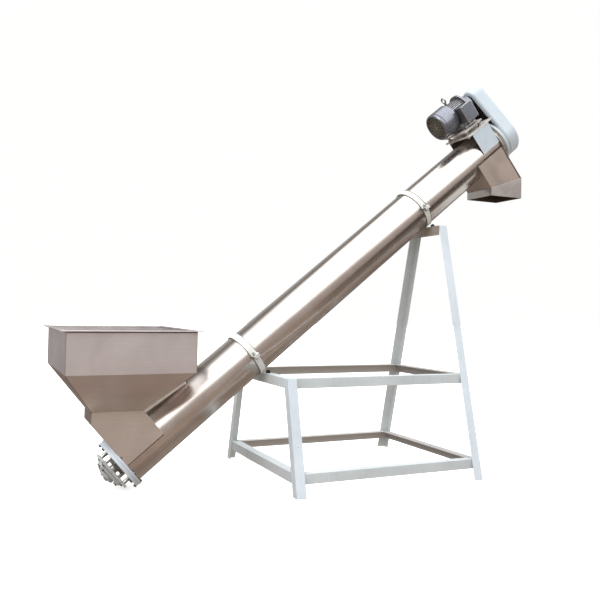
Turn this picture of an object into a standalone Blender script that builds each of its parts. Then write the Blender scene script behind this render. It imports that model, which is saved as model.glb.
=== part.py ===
"""Inclined shaftless screw conveyor on a splayed angle-iron stand, with a feed hopper and a belt drive."""

import math

import bmesh
import bpy
from mathutils import Matrix, Vector

# Driving dimensions, in metres and degrees.
GAP = 0.0003

TUBE_RADIUS = 0.1095
TUBE_WALL = 0.003
TUBE_START = 0.187
TUBE_END = 2.730
INCLINE = math.radians(39.66)
AXIS_MEETS_FLOOR = -0.7224

# The tube is cut open above at the feed and below at the discharge.
TUBE_OPENING_WIDTH = 0.186
TUBE_OPENING_HEIGHT = 0.038

SHEET = 0.002
CUT_REACH = 0.05

FLANGE_RADIUS = 0.126
LOWER_FLANGE_THICKNESS = 0.010
LOWER_FLANGE_BORE = 0.040
LOWER_COVER_THICKNESS = 0.015
LOWER_COVER_RADIUS = 0.124
STANDOFF_LENGTH = 0.028
STANDOFF_RADIUS = 0.009
STANDOFF_PITCH = 0.120
BEARING_PLATE_SIZE = 0.155
BEARING_PLATE_THICKNESS = 0.012
BEARING_BASE_SIZE = 0.118
BEARING_BASE_THICKNESS = 0.014
BEARING_BASE_CORNER = 0.012
BEARING_NOSE_RADIUS = 0.040
BEARING_NOSE_LENGTH = 0.018
BEARING_NOSE_RIM = 0.006
CASTING_SLOPE = 0.008
STUB_SHAFT_RADIUS = 0.020
STUB_SHAFT_TIP = 0.006
GLAND_RADIUS = 0.046
GLAND_LENGTH = 0.016

SCREW_RADIUS = 0.098
SCREW_BAND = 0.050
SCREW_THICKNESS = 0.012
SCREW_PITCH = 0.190
SCREW_STEPS_PER_TURN = 20
DRIVE_DISC_RADIUS = 0.096
DRIVE_DISC_THICKNESS = 0.008
DRIVE_SHAFT_RADIUS = 0.025

HOPPER_LEFT = -0.866
HOPPER_RIGHT = -0.354
HOPPER_HALF_WIDTH = 0.356
HOPPER_RIM_HEIGHT = 0.7066
HOPPER_FOLD_HEIGHT = 0.5323
HOPPER_RIM_WIDTH = 0.022
HOPPER_RIM_THICKNESS = 0.004

NECK_LEFT = -0.7300
NECK_TOP = 0.3512
NECK_END = 0.385

CHUTE_START = 2.525
CHUTE_SEAM = -0.020
CHUTE_REAR_DEPTH = 0.165
CHUTE_FRONT_DEPTH = 0.237
CHUTE_OUTLET_HEIGHT = 1.4450

CLAMP_THICKNESS = 0.005
CLAMP_WIDTH = 0.036
CLAMP_EAR = 0.030
CLAMP_SPLIT = 0.003

ANGLE_LEG = 0.045
ANGLE_THICKNESS = 0.004
CROSSBAR_LEG = 0.050
STAND_LEFT = 0.0529
STAND_RIGHT = 1.0159
FOOT_HALF_WIDTH = 0.4856
SPLAY = 0.2748
LOWER_RING_TOP = 0.098

UPPER_FLANGE_RADIUS = 0.121
UPPER_FLANGE_THICKNESS = 0.010
UPPER_COVER_THICKNESS = 0.030
UPPER_COVER_NECK = 0.014
UPPER_COVER_NECK_RADIUS = 0.106
UPPER_COVER_RADIUS = 0.1265
UPPER_BEARING_RADIUS = 0.070

GUARD_START = 2.784
GUARD_DEPTH = 0.081
GUARD_LOW_RADIUS = 0.118
GUARD_HIGH_RADIUS = 0.055
MOTOR_OFFSET = 0.2640

COWL_START = 2.4985
COWL_RADIUS = 0.0775
COWL_LENGTH = 0.1065
COWL_ROUNDING = 0.012
MOTOR_BODY_RADIUS = 0.0645
MOTOR_BODY_END = 2.700
END_SHIELD_RADIUS = 0.078
END_SHIELD_END = 2.764
END_SHIELD_BOSS_RADIUS = 0.045
END_SHIELD_RIM = 0.013
END_SHIELD_STEP_RADIUS = 0.062
MOTOR_SHAFT_RADIUS = 0.012
MOTOR_SHAFT_HEIGHT = 0.094
MOTOR_FOOT_START = 2.610
MOTOR_FOOT_END = 2.696
MOTOR_FOOT_WIDTH = 0.160
MOTOR_FOOT_THICKNESS = 0.012
MOTOR_PEDESTAL_WIDTH = 0.090
MOTOR_PEDESTAL_TOP = 0.216

EYE_RING_RADIUS = 0.014
EYE_WIRE_RADIUS = 0.0045
EYE_WIRE_SEGMENTS = 10
EYE_STEM_RADIUS = 0.007
EYE_STEM_LENGTH = 0.016
EYE_NECK = 0.014
EYE_STATION = 2.634

MOUNT_START = 2.575
LOWER_MOUNT_END = 2.765
UPPER_MOUNT_END = 2.715
MOUNT_PLATE = 0.008
LOWER_MOUNT_TOP = 0.140
LOWER_MOUNT_WIDTH = 0.228
UPPER_MOUNT_WIDTH = 0.200
STUD_RADIUS = 0.007
STUD_INSET = 0.018

BRACKET_START = 2.598
BRACKET_END = 2.729
BRACKET_BOTTOM = 0.010
BRACKET_THICKNESS = 0.004

TERMINAL_START = 2.616
TERMINAL_END = 2.697
TERMINAL_LOW = 0.200
TERMINAL_HIGH = 0.294
TERMINAL_FACE = 0.126
TERMINAL_ROOT = 0.058

ROUND_SEGMENTS = 48
SMALL_SEGMENTS = 16

COLLECTION_NAME = "shaftless_screw_conveyor"

# Directions of the inclined tube: along it, and square to it in the upright plane.
ALONG = Vector((math.cos(INCLINE), 0.0, math.sin(INCLINE)))
ACROSS = Vector((-math.sin(INCLINE), 0.0, math.cos(INCLINE)))
SIDE = Vector((0.0, 1.0, 0.0))

# Basis of pieces that are turned about the tube's line: local Z runs along the tube, local X across it.
TUBE_BASIS = Matrix((ACROSS, -SIDE, ALONG)).transposed().to_4x4()
# Basis of plates seen from the side: local X runs along the tube, local Y across it, local Z to the front.
PLATE_BASIS = Matrix((ALONG, ACROSS, -SIDE)).transposed().to_4x4()
# Basis of studs that stand square on the tube: local Z runs across the tube.
LIFT_BASIS = Matrix((ALONG, SIDE, ACROSS)).transposed().to_4x4()


def clear_scene():
    for obj in list(bpy.data.objects):
        bpy.data.objects.remove(obj, do_unlink=True)


def make_collection(name):
    collection = bpy.data.collections.new(name)
    bpy.context.scene.collection.children.link(collection)
    return collection


def make_material(name, colour, roughness, metallic):
    material = bpy.data.materials.new(name)
    material.use_nodes = True
    shader = material.node_tree.nodes["Principled BSDF"]
    shader.inputs["Base Color"].default_value = (*colour, 1.0)
    shader.inputs["Roughness"].default_value = roughness
    shader.inputs["Metallic"].default_value = metallic
    return material


def tube_point(along, across=0.0, side=0.0):
    """World point at a station along the tube, a height across it and a place to the side."""
    return Vector((AXIS_MEETS_FLOOR, 0.0, 0.0)) + ALONG * along + ACROSS * across + SIDE * side


def tube_frame(along, across=0.0, side=0.0):
    return Matrix.Translation(tube_point(along, across, side)) @ TUBE_BASIS


clear_scene()
PARTS = make_collection(COLLECTION_NAME)
CUTTERS = make_collection("cutters")
ROOT = bpy.data.objects.new("conveyor_origin", None)
PARTS.objects.link(ROOT)

STAINLESS = make_material("stainless_sheet", (0.62, 0.58, 0.55), 0.30, 1.0)
POLISHED = make_material("polished_tube", (0.72, 0.69, 0.66), 0.16, 1.0)
WHITE_PAINT = make_material("white_frame_paint", (0.78, 0.82, 0.86), 0.45, 0.0)
BLUE_WHITE_PAINT = make_material("pale_blue_guard_paint", (0.72, 0.80, 0.88), 0.40, 0.0)
MOTOR_PAINT = make_material("grey_motor_paint", (0.15, 0.15, 0.19), 0.45, 0.2)
CAST_GREY = make_material("cast_bearing_grey", (0.22, 0.23, 0.22), 0.55, 0.4)
ZINC = make_material("zinc_fasteners", (0.50, 0.50, 0.50), 0.35, 1.0)
SPIRAL_STEEL = make_material("worn_spiral_steel", (0.36, 0.33, 0.31), 0.45, 1.0)


def add_object(name, mesh, material, matrix=None, collection=PARTS):
    obj = bpy.data.objects.new(name, mesh)
    collection.objects.link(obj)
    if material is not None:
        mesh.materials.append(material)
    if matrix is not None:
        obj.matrix_world = matrix
    obj.parent = ROOT
    return obj


def finish_mesh(name, bm):
    bmesh.ops.recalc_face_normals(bm, faces=bm.faces[:])
    mesh = bpy.data.meshes.new(name)
    bm.to_mesh(mesh)
    bm.free()
    return mesh


def shade_round(mesh):
    mesh.shade_smooth()
    mesh.set_sharp_from_angle(angle=math.radians(35.0))


def add_box(name, size, material, matrix, collection=PARTS):
    """A box centred on the matrix's origin."""
    bm = bmesh.new()
    bmesh.ops.create_cube(bm, size=1.0, matrix=Matrix.Diagonal((*size, 1.0)))
    return add_object(name, finish_mesh(name, bm), material, matrix, collection)


def add_cylinder(name, radius, length, material, matrix, segments=ROUND_SEGMENTS, collection=PARTS):
    """A round bar that starts at the matrix's origin and runs up its local Z."""
    bm = bmesh.new()
    bmesh.ops.create_cone(bm, cap_ends=True, segments=segments, radius1=radius, radius2=radius,
                          depth=length, matrix=Matrix.Translation((0.0, 0.0, length / 2)))
    mesh = finish_mesh(name, bm)
    shade_round(mesh)
    return add_object(name, mesh, material, matrix, collection)


def add_turned(name, profile, material, matrix, segments=ROUND_SEGMENTS):
    """A solid turned about local Z. The profile is (radius, height) pairs from the top down."""
    bm = bmesh.new()
    points = [bm.verts.new((radius, 0.0, height)) for radius, height in profile]
    for first, second in zip(points, points[1:]):
        bm.edges.new((first, second))
    mesh = bpy.data.meshes.new(name)
    bm.to_mesh(mesh)
    bm.free()
    obj = add_object(name, mesh, material, matrix)
    screw = obj.modifiers.new("turn", "SCREW")
    screw.axis = "Z"
    screw.angle = math.tau
    screw.steps = segments
    screw.render_steps = segments
    screw.use_merge_vertices = True
    screw.merge_threshold = 0.0001
    return obj


def outline_mesh(name, loops, depth):
    """Mesh of a flat outline of one or more closed loops, thick on both sides of its own XY plane."""
    curve = bpy.data.curves.new(name + "_outline", "CURVE")
    curve.dimensions = "2D"
    curve.fill_mode = "BOTH"
    curve.extrude = depth / 2
    for loop in loops:
        spline = curve.splines.new("POLY")
        spline.points.add(len(loop) - 1)
        spline.use_cyclic_u = True
        for point, (x, y) in zip(spline.points, loop):
            point.co = (x, y, 0.0, 1.0)
    holder = bpy.data.objects.new(name + "_outline", curve)
    PARTS.objects.link(holder)
    bpy.context.view_layer.update()
    evaluated = holder.evaluated_get(bpy.context.evaluated_depsgraph_get())
    raw = bpy.data.meshes.new_from_object(evaluated)
    bm = bmesh.new()
    bm.from_mesh(raw)
    bmesh.ops.remove_doubles(bm, verts=bm.verts[:], dist=0.00005)
    bpy.data.objects.remove(holder, do_unlink=True)
    bpy.data.meshes.remove(raw)
    return finish_mesh(name, bm)


def add_plate(name, loops, depth, material, matrix, collection=PARTS):
    return add_object(name, outline_mesh(name, loops, depth), material, matrix, collection)


def cut_by(obj, cutter, operation="DIFFERENCE"):
    boolean = obj.modifiers.new(cutter.name, "BOOLEAN")
    boolean.operation = operation
    boolean.solver = "EXACT"
    boolean.object = cutter
    cutter.hide_render = True
    cutter.display_type = "WIRE"


def trim_mesh(mesh, point, normal):
    """Cut away what lies ahead of a plane, and close the cut."""
    bm = bmesh.new()
    bm.from_mesh(mesh)
    geometry = bm.verts[:] + bm.edges[:] + bm.faces[:]
    cut = bmesh.ops.bisect_plane(bm, geom=geometry, plane_co=point, plane_no=normal, clear_outer=True)
    edges = [item for item in cut["geom_cut"] if isinstance(item, bmesh.types.BMEdge)]
    bmesh.ops.edgeloop_fill(bm, edges=edges)
    bmesh.ops.recalc_face_normals(bm, faces=bm.faces[:])
    bm.to_mesh(mesh)
    bm.free()


def side_point(x, z):
    """Station and height of a world point in the tube's upright plane."""
    offset = Vector((x - AXIS_MEETS_FLOOR, 0.0, z))
    return offset.dot(ALONG), offset.dot(ACROSS)


def offset_outline(points, distances):
    """Move each edge of a convex anticlockwise outline inwards by its own distance."""
    lines = []
    for (start, end), distance in zip(zip(points, points[1:] + points[:1]), distances):
        run = (Vector(end) - Vector(start)).normalized()
        inward = Vector((-run.y, run.x))
        lines.append((Vector(start) + inward * distance, run))
    moved = []
    for (base, run), (next_base, next_run) in zip(lines[-1:] + lines[:-1], lines):
        turn = run.cross(next_run)
        step = (next_base - base).cross(next_run) / turn
        moved.append(tuple(base + run * step))
    return moved


def add_tube_wrap(obj, start, end):
    """Cut the tube's round outside out of a sheet piece that stands on it."""
    cutter = add_cylinder(obj.name + "_tube_cut", TUBE_RADIUS + GAP, end - start + 0.2, None,
                          tube_frame(start - 0.1), collection=CUTTERS)
    cut_by(obj, cutter)


def build_tube():
    """The straight conveying tube, open above at the feed and below at the discharge."""
    length = TUBE_END - TUBE_START
    bm = bmesh.new()
    bmesh.ops.create_cone(bm, cap_ends=False, segments=ROUND_SEGMENTS, radius1=TUBE_RADIUS,
                          radius2=TUBE_RADIUS, depth=length, matrix=Matrix.Translation((0, 0, length / 2)))
    mesh = finish_mesh("conveyor_tube", bm)
    shade_round(mesh)
    tube = add_object("conveyor_tube", mesh, POLISHED, tube_frame(TUBE_START))
    wall = tube.modifiers.new("wall", "SOLIDIFY")
    wall.thickness = TUBE_WALL
    wall.offset = -1.0
    wall.use_even_offset = True
    cut_height = 2 * TUBE_RADIUS
    cut_middle = TUBE_OPENING_HEIGHT + cut_height / 2
    inlet_length = NECK_END - TUBE_START - 4 * SHEET
    inlet = add_box("inlet_cut", (cut_height, TUBE_OPENING_WIDTH, inlet_length), None,
                    tube_frame((NECK_END + TUBE_START) / 2, cut_middle), CUTTERS)
    cut_by(tube, inlet)
    outlet_length = TUBE_END - CHUTE_START - 6 * SHEET
    outlet = add_box("outlet_cut", (cut_height, TUBE_OPENING_WIDTH, outlet_length), None,
                     tube_frame((CHUTE_START + TUBE_END) / 2, -cut_middle), CUTTERS)
    cut_by(tube, outlet)


def build_screw():
    """The shaftless spiral: a flat bar wound into a helix, with a hollow middle."""
    start = TUBE_START + DRIVE_DISC_THICKNESS + GAP
    end = TUBE_END - DRIVE_DISC_THICKNESS - GAP
    turns = (end - start - SCREW_THICKNESS) / SCREW_PITCH
    bm = bmesh.new()
    bmesh.ops.create_grid(bm, x_segments=1, y_segments=1, size=0.5)
    section = Matrix.Translation((SCREW_RADIUS - SCREW_BAND / 2, 0.0, SCREW_THICKNESS / 2))
    section = section @ Matrix.Rotation(math.pi / 2, 4, "X")
    section = section @ Matrix.Diagonal((SCREW_BAND, SCREW_THICKNESS, 1.0, 1.0))
    bmesh.ops.transform(bm, matrix=section, verts=bm.verts[:])
    steps = round(turns * SCREW_STEPS_PER_TURN)
    bmesh.ops.spin(bm, geom=bm.verts[:] + bm.edges[:] + bm.faces[:], cent=(0.0, 0.0, 0.0),
                   axis=(0.0, 0.0, 1.0), dvec=(0.0, 0.0, turns * SCREW_PITCH / steps),
                   angle=turns * math.tau, steps=steps, use_duplicate=False)
    mesh = finish_mesh("screw_flight", bm)
    shade_round(mesh)
    add_object("screw_flight", mesh, SPIRAL_STEEL, tube_frame(start))


def build_lower_end():
    """End flange, cover and outboard flange bearing on four stand-offs, at the feed end."""
    flange_start = TUBE_START - LOWER_FLANGE_THICKNESS - GAP
    add_turned("lower_tube_flange",
               [(LOWER_FLANGE_BORE, LOWER_FLANGE_THICKNESS), (FLANGE_RADIUS, LOWER_FLANGE_THICKNESS),
                (FLANGE_RADIUS, 0.0), (LOWER_FLANGE_BORE, 0.0),
                (LOWER_FLANGE_BORE, LOWER_FLANGE_THICKNESS)],
               WHITE_PAINT, tube_frame(flange_start))
    cover_start = flange_start - GAP - LOWER_COVER_THICKNESS
    bore = STUB_SHAFT_RADIUS + GAP
    add_turned("lower_end_cover",
               [(bore, LOWER_COVER_THICKNESS), (LOWER_COVER_RADIUS, LOWER_COVER_THICKNESS),
                (LOWER_COVER_RADIUS, 0.0), (bore, 0.0), (bore, LOWER_COVER_THICKNESS)],
               WHITE_PAINT, tube_frame(cover_start))
    gland_start = cover_start - GAP - GLAND_LENGTH
    add_turned("lower_shaft_gland",
               [(bore, GLAND_LENGTH), (GLAND_RADIUS, GLAND_LENGTH), (GLAND_RADIUS - CASTING_SLOPE, 0.0),
                (bore, 0.0), (bore, GLAND_LENGTH)], CAST_GREY, tube_frame(gland_start))
    plate_top = cover_start - GAP - STANDOFF_LENGTH - GAP
    plate_start = plate_top - BEARING_PLATE_THICKNESS
    for index, (across, side) in enumerate(((1, -1), (1, 1), (-1, -1), (-1, 1))):
        place = tube_frame(plate_top + GAP, across * STANDOFF_PITCH / 2, side * STANDOFF_PITCH / 2)
        add_cylinder(f"bearing_standoff_{index + 1}", STANDOFF_RADIUS, STANDOFF_LENGTH, ZINC, place,
                     SMALL_SEGMENTS)
    plate = add_box("lower_bearing_plate",
                    (BEARING_PLATE_SIZE, BEARING_PLATE_SIZE, BEARING_PLATE_THICKNESS), WHITE_PAINT,
                    tube_frame(plate_start + BEARING_PLATE_THICKNESS / 2))
    bore_cut = add_cylinder("bearing_plate_bore", bore, 0.1, None, tube_frame(plate_start - 0.04),
                            collection=CUTTERS)
    cut_by(plate, bore_cut)
    base_start = plate_start - GAP - BEARING_BASE_THICKNESS
    base = add_box("lower_bearing_base",
                   (BEARING_BASE_SIZE, BEARING_BASE_SIZE, BEARING_BASE_THICKNESS), CAST_GREY,
                   tube_frame(base_start + BEARING_BASE_THICKNESS / 2))
    corner = base.modifiers.new("round_corners", "BEVEL")
    corner.width = BEARING_BASE_CORNER
    corner.segments = 3
    corner.limit_method = "WEIGHT"
    mark_long_edges(base.data)
    cut_by(base, bore_cut)
    nose_start = base_start - GAP - BEARING_NOSE_LENGTH
    add_turned("lower_bearing_nose",
               [(bore, BEARING_NOSE_LENGTH), (BEARING_NOSE_RADIUS, BEARING_NOSE_LENGTH),
                (BEARING_NOSE_RADIUS, BEARING_NOSE_RIM), (BEARING_NOSE_RADIUS - CASTING_SLOPE, 0.0),
                (bore, 0.0), (bore, BEARING_NOSE_LENGTH)], CAST_GREY, tube_frame(nose_start))
    shaft_start = nose_start - STUB_SHAFT_TIP
    shaft_length = TUBE_START - shaft_start
    disc_top = shaft_length + DRIVE_DISC_THICKNESS
    add_turned("lower_stub_shaft",
               [(0.0, disc_top), (DRIVE_DISC_RADIUS, disc_top), (DRIVE_DISC_RADIUS, shaft_length),
                (STUB_SHAFT_RADIUS, shaft_length), (STUB_SHAFT_RADIUS, 0.0), (0.0, 0.0)],
               ZINC, tube_frame(shaft_start))


def mark_long_edges(mesh):
    """Give bevel weight to the four edges that run along a plate's local Z."""
    bm = bmesh.new()
    bm.from_mesh(mesh)
    weight = bm.edges.layers.float.new("bevel_weight_edge")
    for edge in bm.edges:
        run = edge.verts[0].co - edge.verts[1].co
        if abs(run.z) > abs(run.x) + abs(run.y):
            edge[weight] = 1.0
    bm.to_mesh(mesh)
    bm.free()


def open_frustum(name, material, levels):
    """Open four-sided sheet between two level rectangles, each (left, right, half_width, height)."""
    (low_left, low_right, low_half, low), (left, right, half, high) = levels
    bm = bmesh.new()
    bmesh.ops.create_cube(bm, size=2.0)
    level_faces = [face for face in bm.faces if abs(face.normal.z) > 0.9]
    bmesh.ops.delete(bm, geom=level_faces, context="FACES_ONLY")
    for vert in bm.verts:
        upper = vert.co.z > 0.0
        span = (left, right) if upper else (low_left, low_right)
        depth = half if upper else low_half
        vert.co = (span[1] if vert.co.x > 0.0 else span[0], math.copysign(depth, vert.co.y),
                   high if upper else low)
    obj = add_object(name, finish_mesh(name, bm), material)
    wall = obj.modifiers.new("wall", "SOLIDIFY")
    wall.thickness = SHEET
    wall.offset = -1.0
    wall.use_even_offset = True
    return obj


def neck_outline():
    """Side outline of the hopper's neck, anticlockwise, as (station, height) pairs."""
    top_left = side_point(NECK_LEFT, NECK_TOP)
    elbow_height = (TUBE_START * math.cos(INCLINE) + AXIS_MEETS_FLOOR - NECK_LEFT) / math.sin(INCLINE)
    elbow = (TUBE_START, elbow_height)
    rise = (NECK_TOP - NECK_END * math.sin(INCLINE)) / math.cos(INCLINE)
    return [top_left, elbow, (TUBE_START, 0.0), (NECK_END, 0.0), (NECK_END, rise)]


def neck_right():
    """World X of the neck's upper right corner."""
    along, across = neck_outline()[-1]
    return tube_point(along, across).x


def build_hopper():
    """Feed hopper: rim, straight box, taper, and the neck that sits astride the tube."""
    rim_left = HOPPER_LEFT - HOPPER_RIM_WIDTH
    rim_right = HOPPER_RIGHT + HOPPER_RIM_WIDTH
    rim_half = HOPPER_HALF_WIDTH + HOPPER_RIM_WIDTH
    outer = [(rim_left, -rim_half), (rim_right, -rim_half), (rim_right, rim_half), (rim_left, rim_half)]
    inner_left = HOPPER_LEFT + SHEET
    inner_right = HOPPER_RIGHT - SHEET
    inner_half = HOPPER_HALF_WIDTH - SHEET
    inner = [(inner_left, -inner_half), (inner_right, -inner_half), (inner_right, inner_half),
             (inner_left, inner_half)]
    rim_place = Matrix.Translation((0.0, 0.0, HOPPER_RIM_HEIGHT - HOPPER_RIM_THICKNESS / 2))
    add_plate("hopper_rim", [outer, inner], HOPPER_RIM_THICKNESS, STAINLESS, rim_place)

    box_top = HOPPER_RIM_HEIGHT - HOPPER_RIM_THICKNESS - GAP
    open_frustum("hopper_box", STAINLESS,
                 [(HOPPER_LEFT, HOPPER_RIGHT, HOPPER_HALF_WIDTH, HOPPER_FOLD_HEIGHT),
                  (HOPPER_LEFT, HOPPER_RIGHT, HOPPER_HALF_WIDTH, box_top)])
    neck_half = TUBE_RADIUS + GAP + SHEET
    taper = open_frustum("hopper_taper", STAINLESS,
                         [(NECK_LEFT, neck_right(), neck_half, NECK_TOP + GAP),
                          (HOPPER_LEFT, HOPPER_RIGHT, HOPPER_HALF_WIDTH, HOPPER_FOLD_HEIGHT)])
    level_cut = add_box("taper_top_cut", (2.0, 2.0, 0.2), None,
                        Matrix.Translation((HOPPER_LEFT, 0.0, HOPPER_FOLD_HEIGHT - GAP + 0.1)), CUTTERS)
    cut_by(taper, level_cut)

    outline = neck_outline()
    neck = add_plate("hopper_neck", [outline], 2 * neck_half, STAINLESS,
                     Matrix.Translation(tube_point(0.0)) @ PLATE_BASIS)
    hollow_outline = offset_outline(outline, [SHEET, SHEET, -CUT_REACH, SHEET, -CUT_REACH])
    hollow = add_plate("neck_hollow", [hollow_outline], 2 * (neck_half - SHEET), None,
                       Matrix.Translation(tube_point(0.0)) @ PLATE_BASIS, CUTTERS)
    cut_by(neck, hollow)
    add_tube_wrap(neck, TUBE_START, NECK_END)


def chute_outline():
    """Side outline of the discharge chute, anticlockwise, as (station, height) pairs."""
    rear_bend = (CHUTE_START, -CHUTE_REAR_DEPTH)
    front_bend = (TUBE_END, -CHUTE_FRONT_DEPTH)
    rear_foot = side_point(tube_point(*rear_bend).x, CHUTE_OUTLET_HEIGHT)
    front_foot = side_point(tube_point(*front_bend).x, CHUTE_OUTLET_HEIGHT)
    return [(CHUTE_START, CHUTE_SEAM), rear_bend, rear_foot, front_foot, front_bend,
            (TUBE_END, CHUTE_SEAM)]


def build_chute():
    """Discharge chute under the tube's upper end, open at its level outlet."""
    outline = chute_outline()
    half = TUBE_RADIUS + GAP + SHEET
    place = Matrix.Translation(tube_point(0.0)) @ PLATE_BASIS
    chute = add_plate("discharge_chute", [outline], 2 * half, STAINLESS, place)
    hollow_outline = offset_outline(outline, [SHEET, SHEET, -CUT_REACH, SHEET, SHEET, -CUT_REACH])
    hollow = add_plate("chute_hollow", [hollow_outline], 2 * (half - SHEET), None, place, CUTTERS)
    cut_by(chute, hollow)
    add_tube_wrap(chute, CHUTE_START, TUBE_END)


def support_edges():
    """World X of the two beam edges that the clamps rest on: mid-ring beam and top crossbar."""
    return STAND_LEFT + ANGLE_THICKNESS + GAP, STAND_RIGHT - ANGLE_LEG


def clamp_station(edge):
    reach = (TUBE_RADIUS + GAP + CLAMP_THICKNESS) * math.sin(INCLINE)
    return (edge - AXIS_MEETS_FLOOR - reach) / math.cos(INCLINE)


def support_height(edge):
    """Height at which a level beam's edge meets the clamp band under the tube."""
    drop = (TUBE_RADIUS + 2 * GAP + CLAMP_THICKNESS) / math.cos(INCLINE)
    return (edge - AXIS_MEETS_FLOOR) * math.tan(INCLINE) - drop - GAP


def half_clamp_outline(sign):
    """Half ring with a bolting ear at each end; sign is +1 for the upper half, -1 for the lower."""
    inner = TUBE_RADIUS + GAP
    outer = inner + CLAMP_THICKNESS
    lift = CLAMP_SPLIT / 2
    first = math.asin(lift / inner)
    second = math.asin((lift + CLAMP_THICKNESS) / outer)
    steps = 24
    inside = [first + (math.pi - 2 * first) * index / steps for index in range(steps + 1)]
    outside = [second + (math.pi - 2 * second) * index / steps for index in range(steps + 1)]
    loop = [(sign * inner * math.sin(angle), inner * math.cos(angle)) for angle in inside]
    loop.append((sign * lift, -outer - CLAMP_EAR))
    loop.append((sign * (lift + CLAMP_THICKNESS), -outer - CLAMP_EAR))
    loop += [(sign * outer * math.sin(angle), outer * math.cos(angle)) for angle in reversed(outside)]
    loop.append((sign * (lift + CLAMP_THICKNESS), outer + CLAMP_EAR))
    loop.append((sign * lift, outer + CLAMP_EAR))
    return loop


def build_clamps():
    for label, edge in zip(("lower", "upper"), support_edges()):
        place = tube_frame(clamp_station(edge))
        for half, sign in (("top", 1), ("bottom", -1)):
            add_plate(f"{label}_clamp_{half}_half", [half_clamp_outline(sign)], CLAMP_WIDTH, WHITE_PAINT,
                      place)


def half_width_at(height):
    """Distance of the stand's outer leg faces from its middle plane."""
    return FOOT_HALF_WIDTH - SPLAY * height


def angle_outline(flip_x, flip_y):
    """Section of an angle bar with its outer corner at the origin."""
    section = [(0.0, 0.0), (ANGLE_LEG, 0.0), (ANGLE_LEG, ANGLE_THICKNESS),
               (ANGLE_THICKNESS, ANGLE_THICKNESS), (ANGLE_THICKNESS, ANGLE_LEG), (0.0, ANGLE_LEG)]
    return [(x * flip_x, y * flip_y) for x, y in section]


def build_leg(name, corner_x, side, top):
    """Splayed leg with its outer corner at the frame's corner, cut level at floor and top."""
    lean = math.atan(SPLAY)
    flip_x = 1 if corner_x < (STAND_LEFT + STAND_RIGHT) / 2 else -1
    raw_length = top / math.cos(lean) + 0.2
    mesh = outline_mesh(name, [angle_outline(flip_x, -side)], raw_length)
    tilt = Matrix.Rotation(side * lean, 4, "X")
    middle = Vector((corner_x, side * half_width_at(top / 2), top / 2))
    mesh.transform(Matrix.Translation(middle) @ tilt)
    trim_mesh(mesh, (0.0, 0.0, 0.0), (0.0, 0.0, -1.0))
    trim_mesh(mesh, (0.0, 0.0, top), (0.0, 0.0, 1.0))
    add_object(name, mesh, WHITE_PAINT)


def build_beam(name, start, end, inward, height):
    """Level angle bar: one flange on top, pointing inwards, the other hanging outside, ends mitred."""
    run = (end - start).normalized()
    length = (end - start).length
    section = [(0.0, 0.0), (ANGLE_LEG, 0.0), (ANGLE_LEG, -ANGLE_THICKNESS),
               (ANGLE_THICKNESS, -ANGLE_THICKNESS), (ANGLE_THICKNESS, -ANGLE_LEG), (0.0, -ANGLE_LEG)]
    mesh = outline_mesh(name, [section], length)
    basis = Matrix((inward, Vector((0.0, 0.0, 1.0)), inward.cross(Vector((0.0, 0.0, 1.0))))).transposed()
    middle = (start + end) / 2
    middle.z = height
    mesh.transform(Matrix.Translation(middle) @ basis.to_4x4())
    trim_mesh(mesh, start + run * GAP, inward - run)
    trim_mesh(mesh, end - run * GAP, inward + run)
    add_object(name, mesh, WHITE_PAINT)


def build_ring(prefix, height):
    """Four mitred angle bars inside the legs at one height."""
    lean_thickness = ANGLE_THICKNESS * math.hypot(1.0, SPLAY)
    left = STAND_LEFT + ANGLE_THICKNESS + GAP
    right = STAND_RIGHT - ANGLE_THICKNESS - GAP
    half = half_width_at(height) - lean_thickness - GAP
    corners = {"front_left": Vector((left, -half, 0.0)), "front_right": Vector((right, -half, 0.0)),
               "back_right": Vector((right, half, 0.0)), "back_left": Vector((left, half, 0.0))}
    east = Vector((1.0, 0.0, 0.0))
    north = Vector((0.0, 1.0, 0.0))
    build_beam(prefix + "_front_beam", corners["front_left"], corners["front_right"], north, height)
    build_beam(prefix + "_right_beam", corners["front_right"], corners["back_right"], -east, height)
    build_beam(prefix + "_back_beam", corners["back_right"], corners["back_left"], -north, height)
    build_beam(prefix + "_left_beam", corners["back_left"], corners["front_left"], east, height)


def build_stand():
    """Angle-iron stand: a short pair of legs, a tall pair, two rings and a top crossbar."""
    lower_edge, upper_edge = support_edges()
    ring_height = support_height(lower_edge)
    top_height = support_height(upper_edge)
    for side, row in ((-1, "front"), (1, "back")):
        build_leg(f"leg_{row}_left", STAND_LEFT, side, ring_height)
        build_leg(f"leg_{row}_right", STAND_RIGHT, side, top_height)
    build_ring("lower_ring", LOWER_RING_TOP)
    build_ring("mid_ring", ring_height)
    lean_thickness = ANGLE_THICKNESS * math.hypot(1.0, SPLAY)
    half = half_width_at(top_height) - lean_thickness - GAP
    reach = ANGLE_LEG - ANGLE_THICKNESS - GAP
    section = [(0.0, 0.0), (0.0, -CROSSBAR_LEG), (ANGLE_THICKNESS, -CROSSBAR_LEG),
               (ANGLE_THICKNESS, -ANGLE_THICKNESS), (reach, -ANGLE_THICKNESS), (reach, 0.0)]
    place = Matrix.Translation((upper_edge, 0.0, top_height)) @ Matrix.Rotation(math.pi / 2, 4, "X")
    add_plate("top_crossbar", [section], 2 * half, WHITE_PAINT, place)


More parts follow.
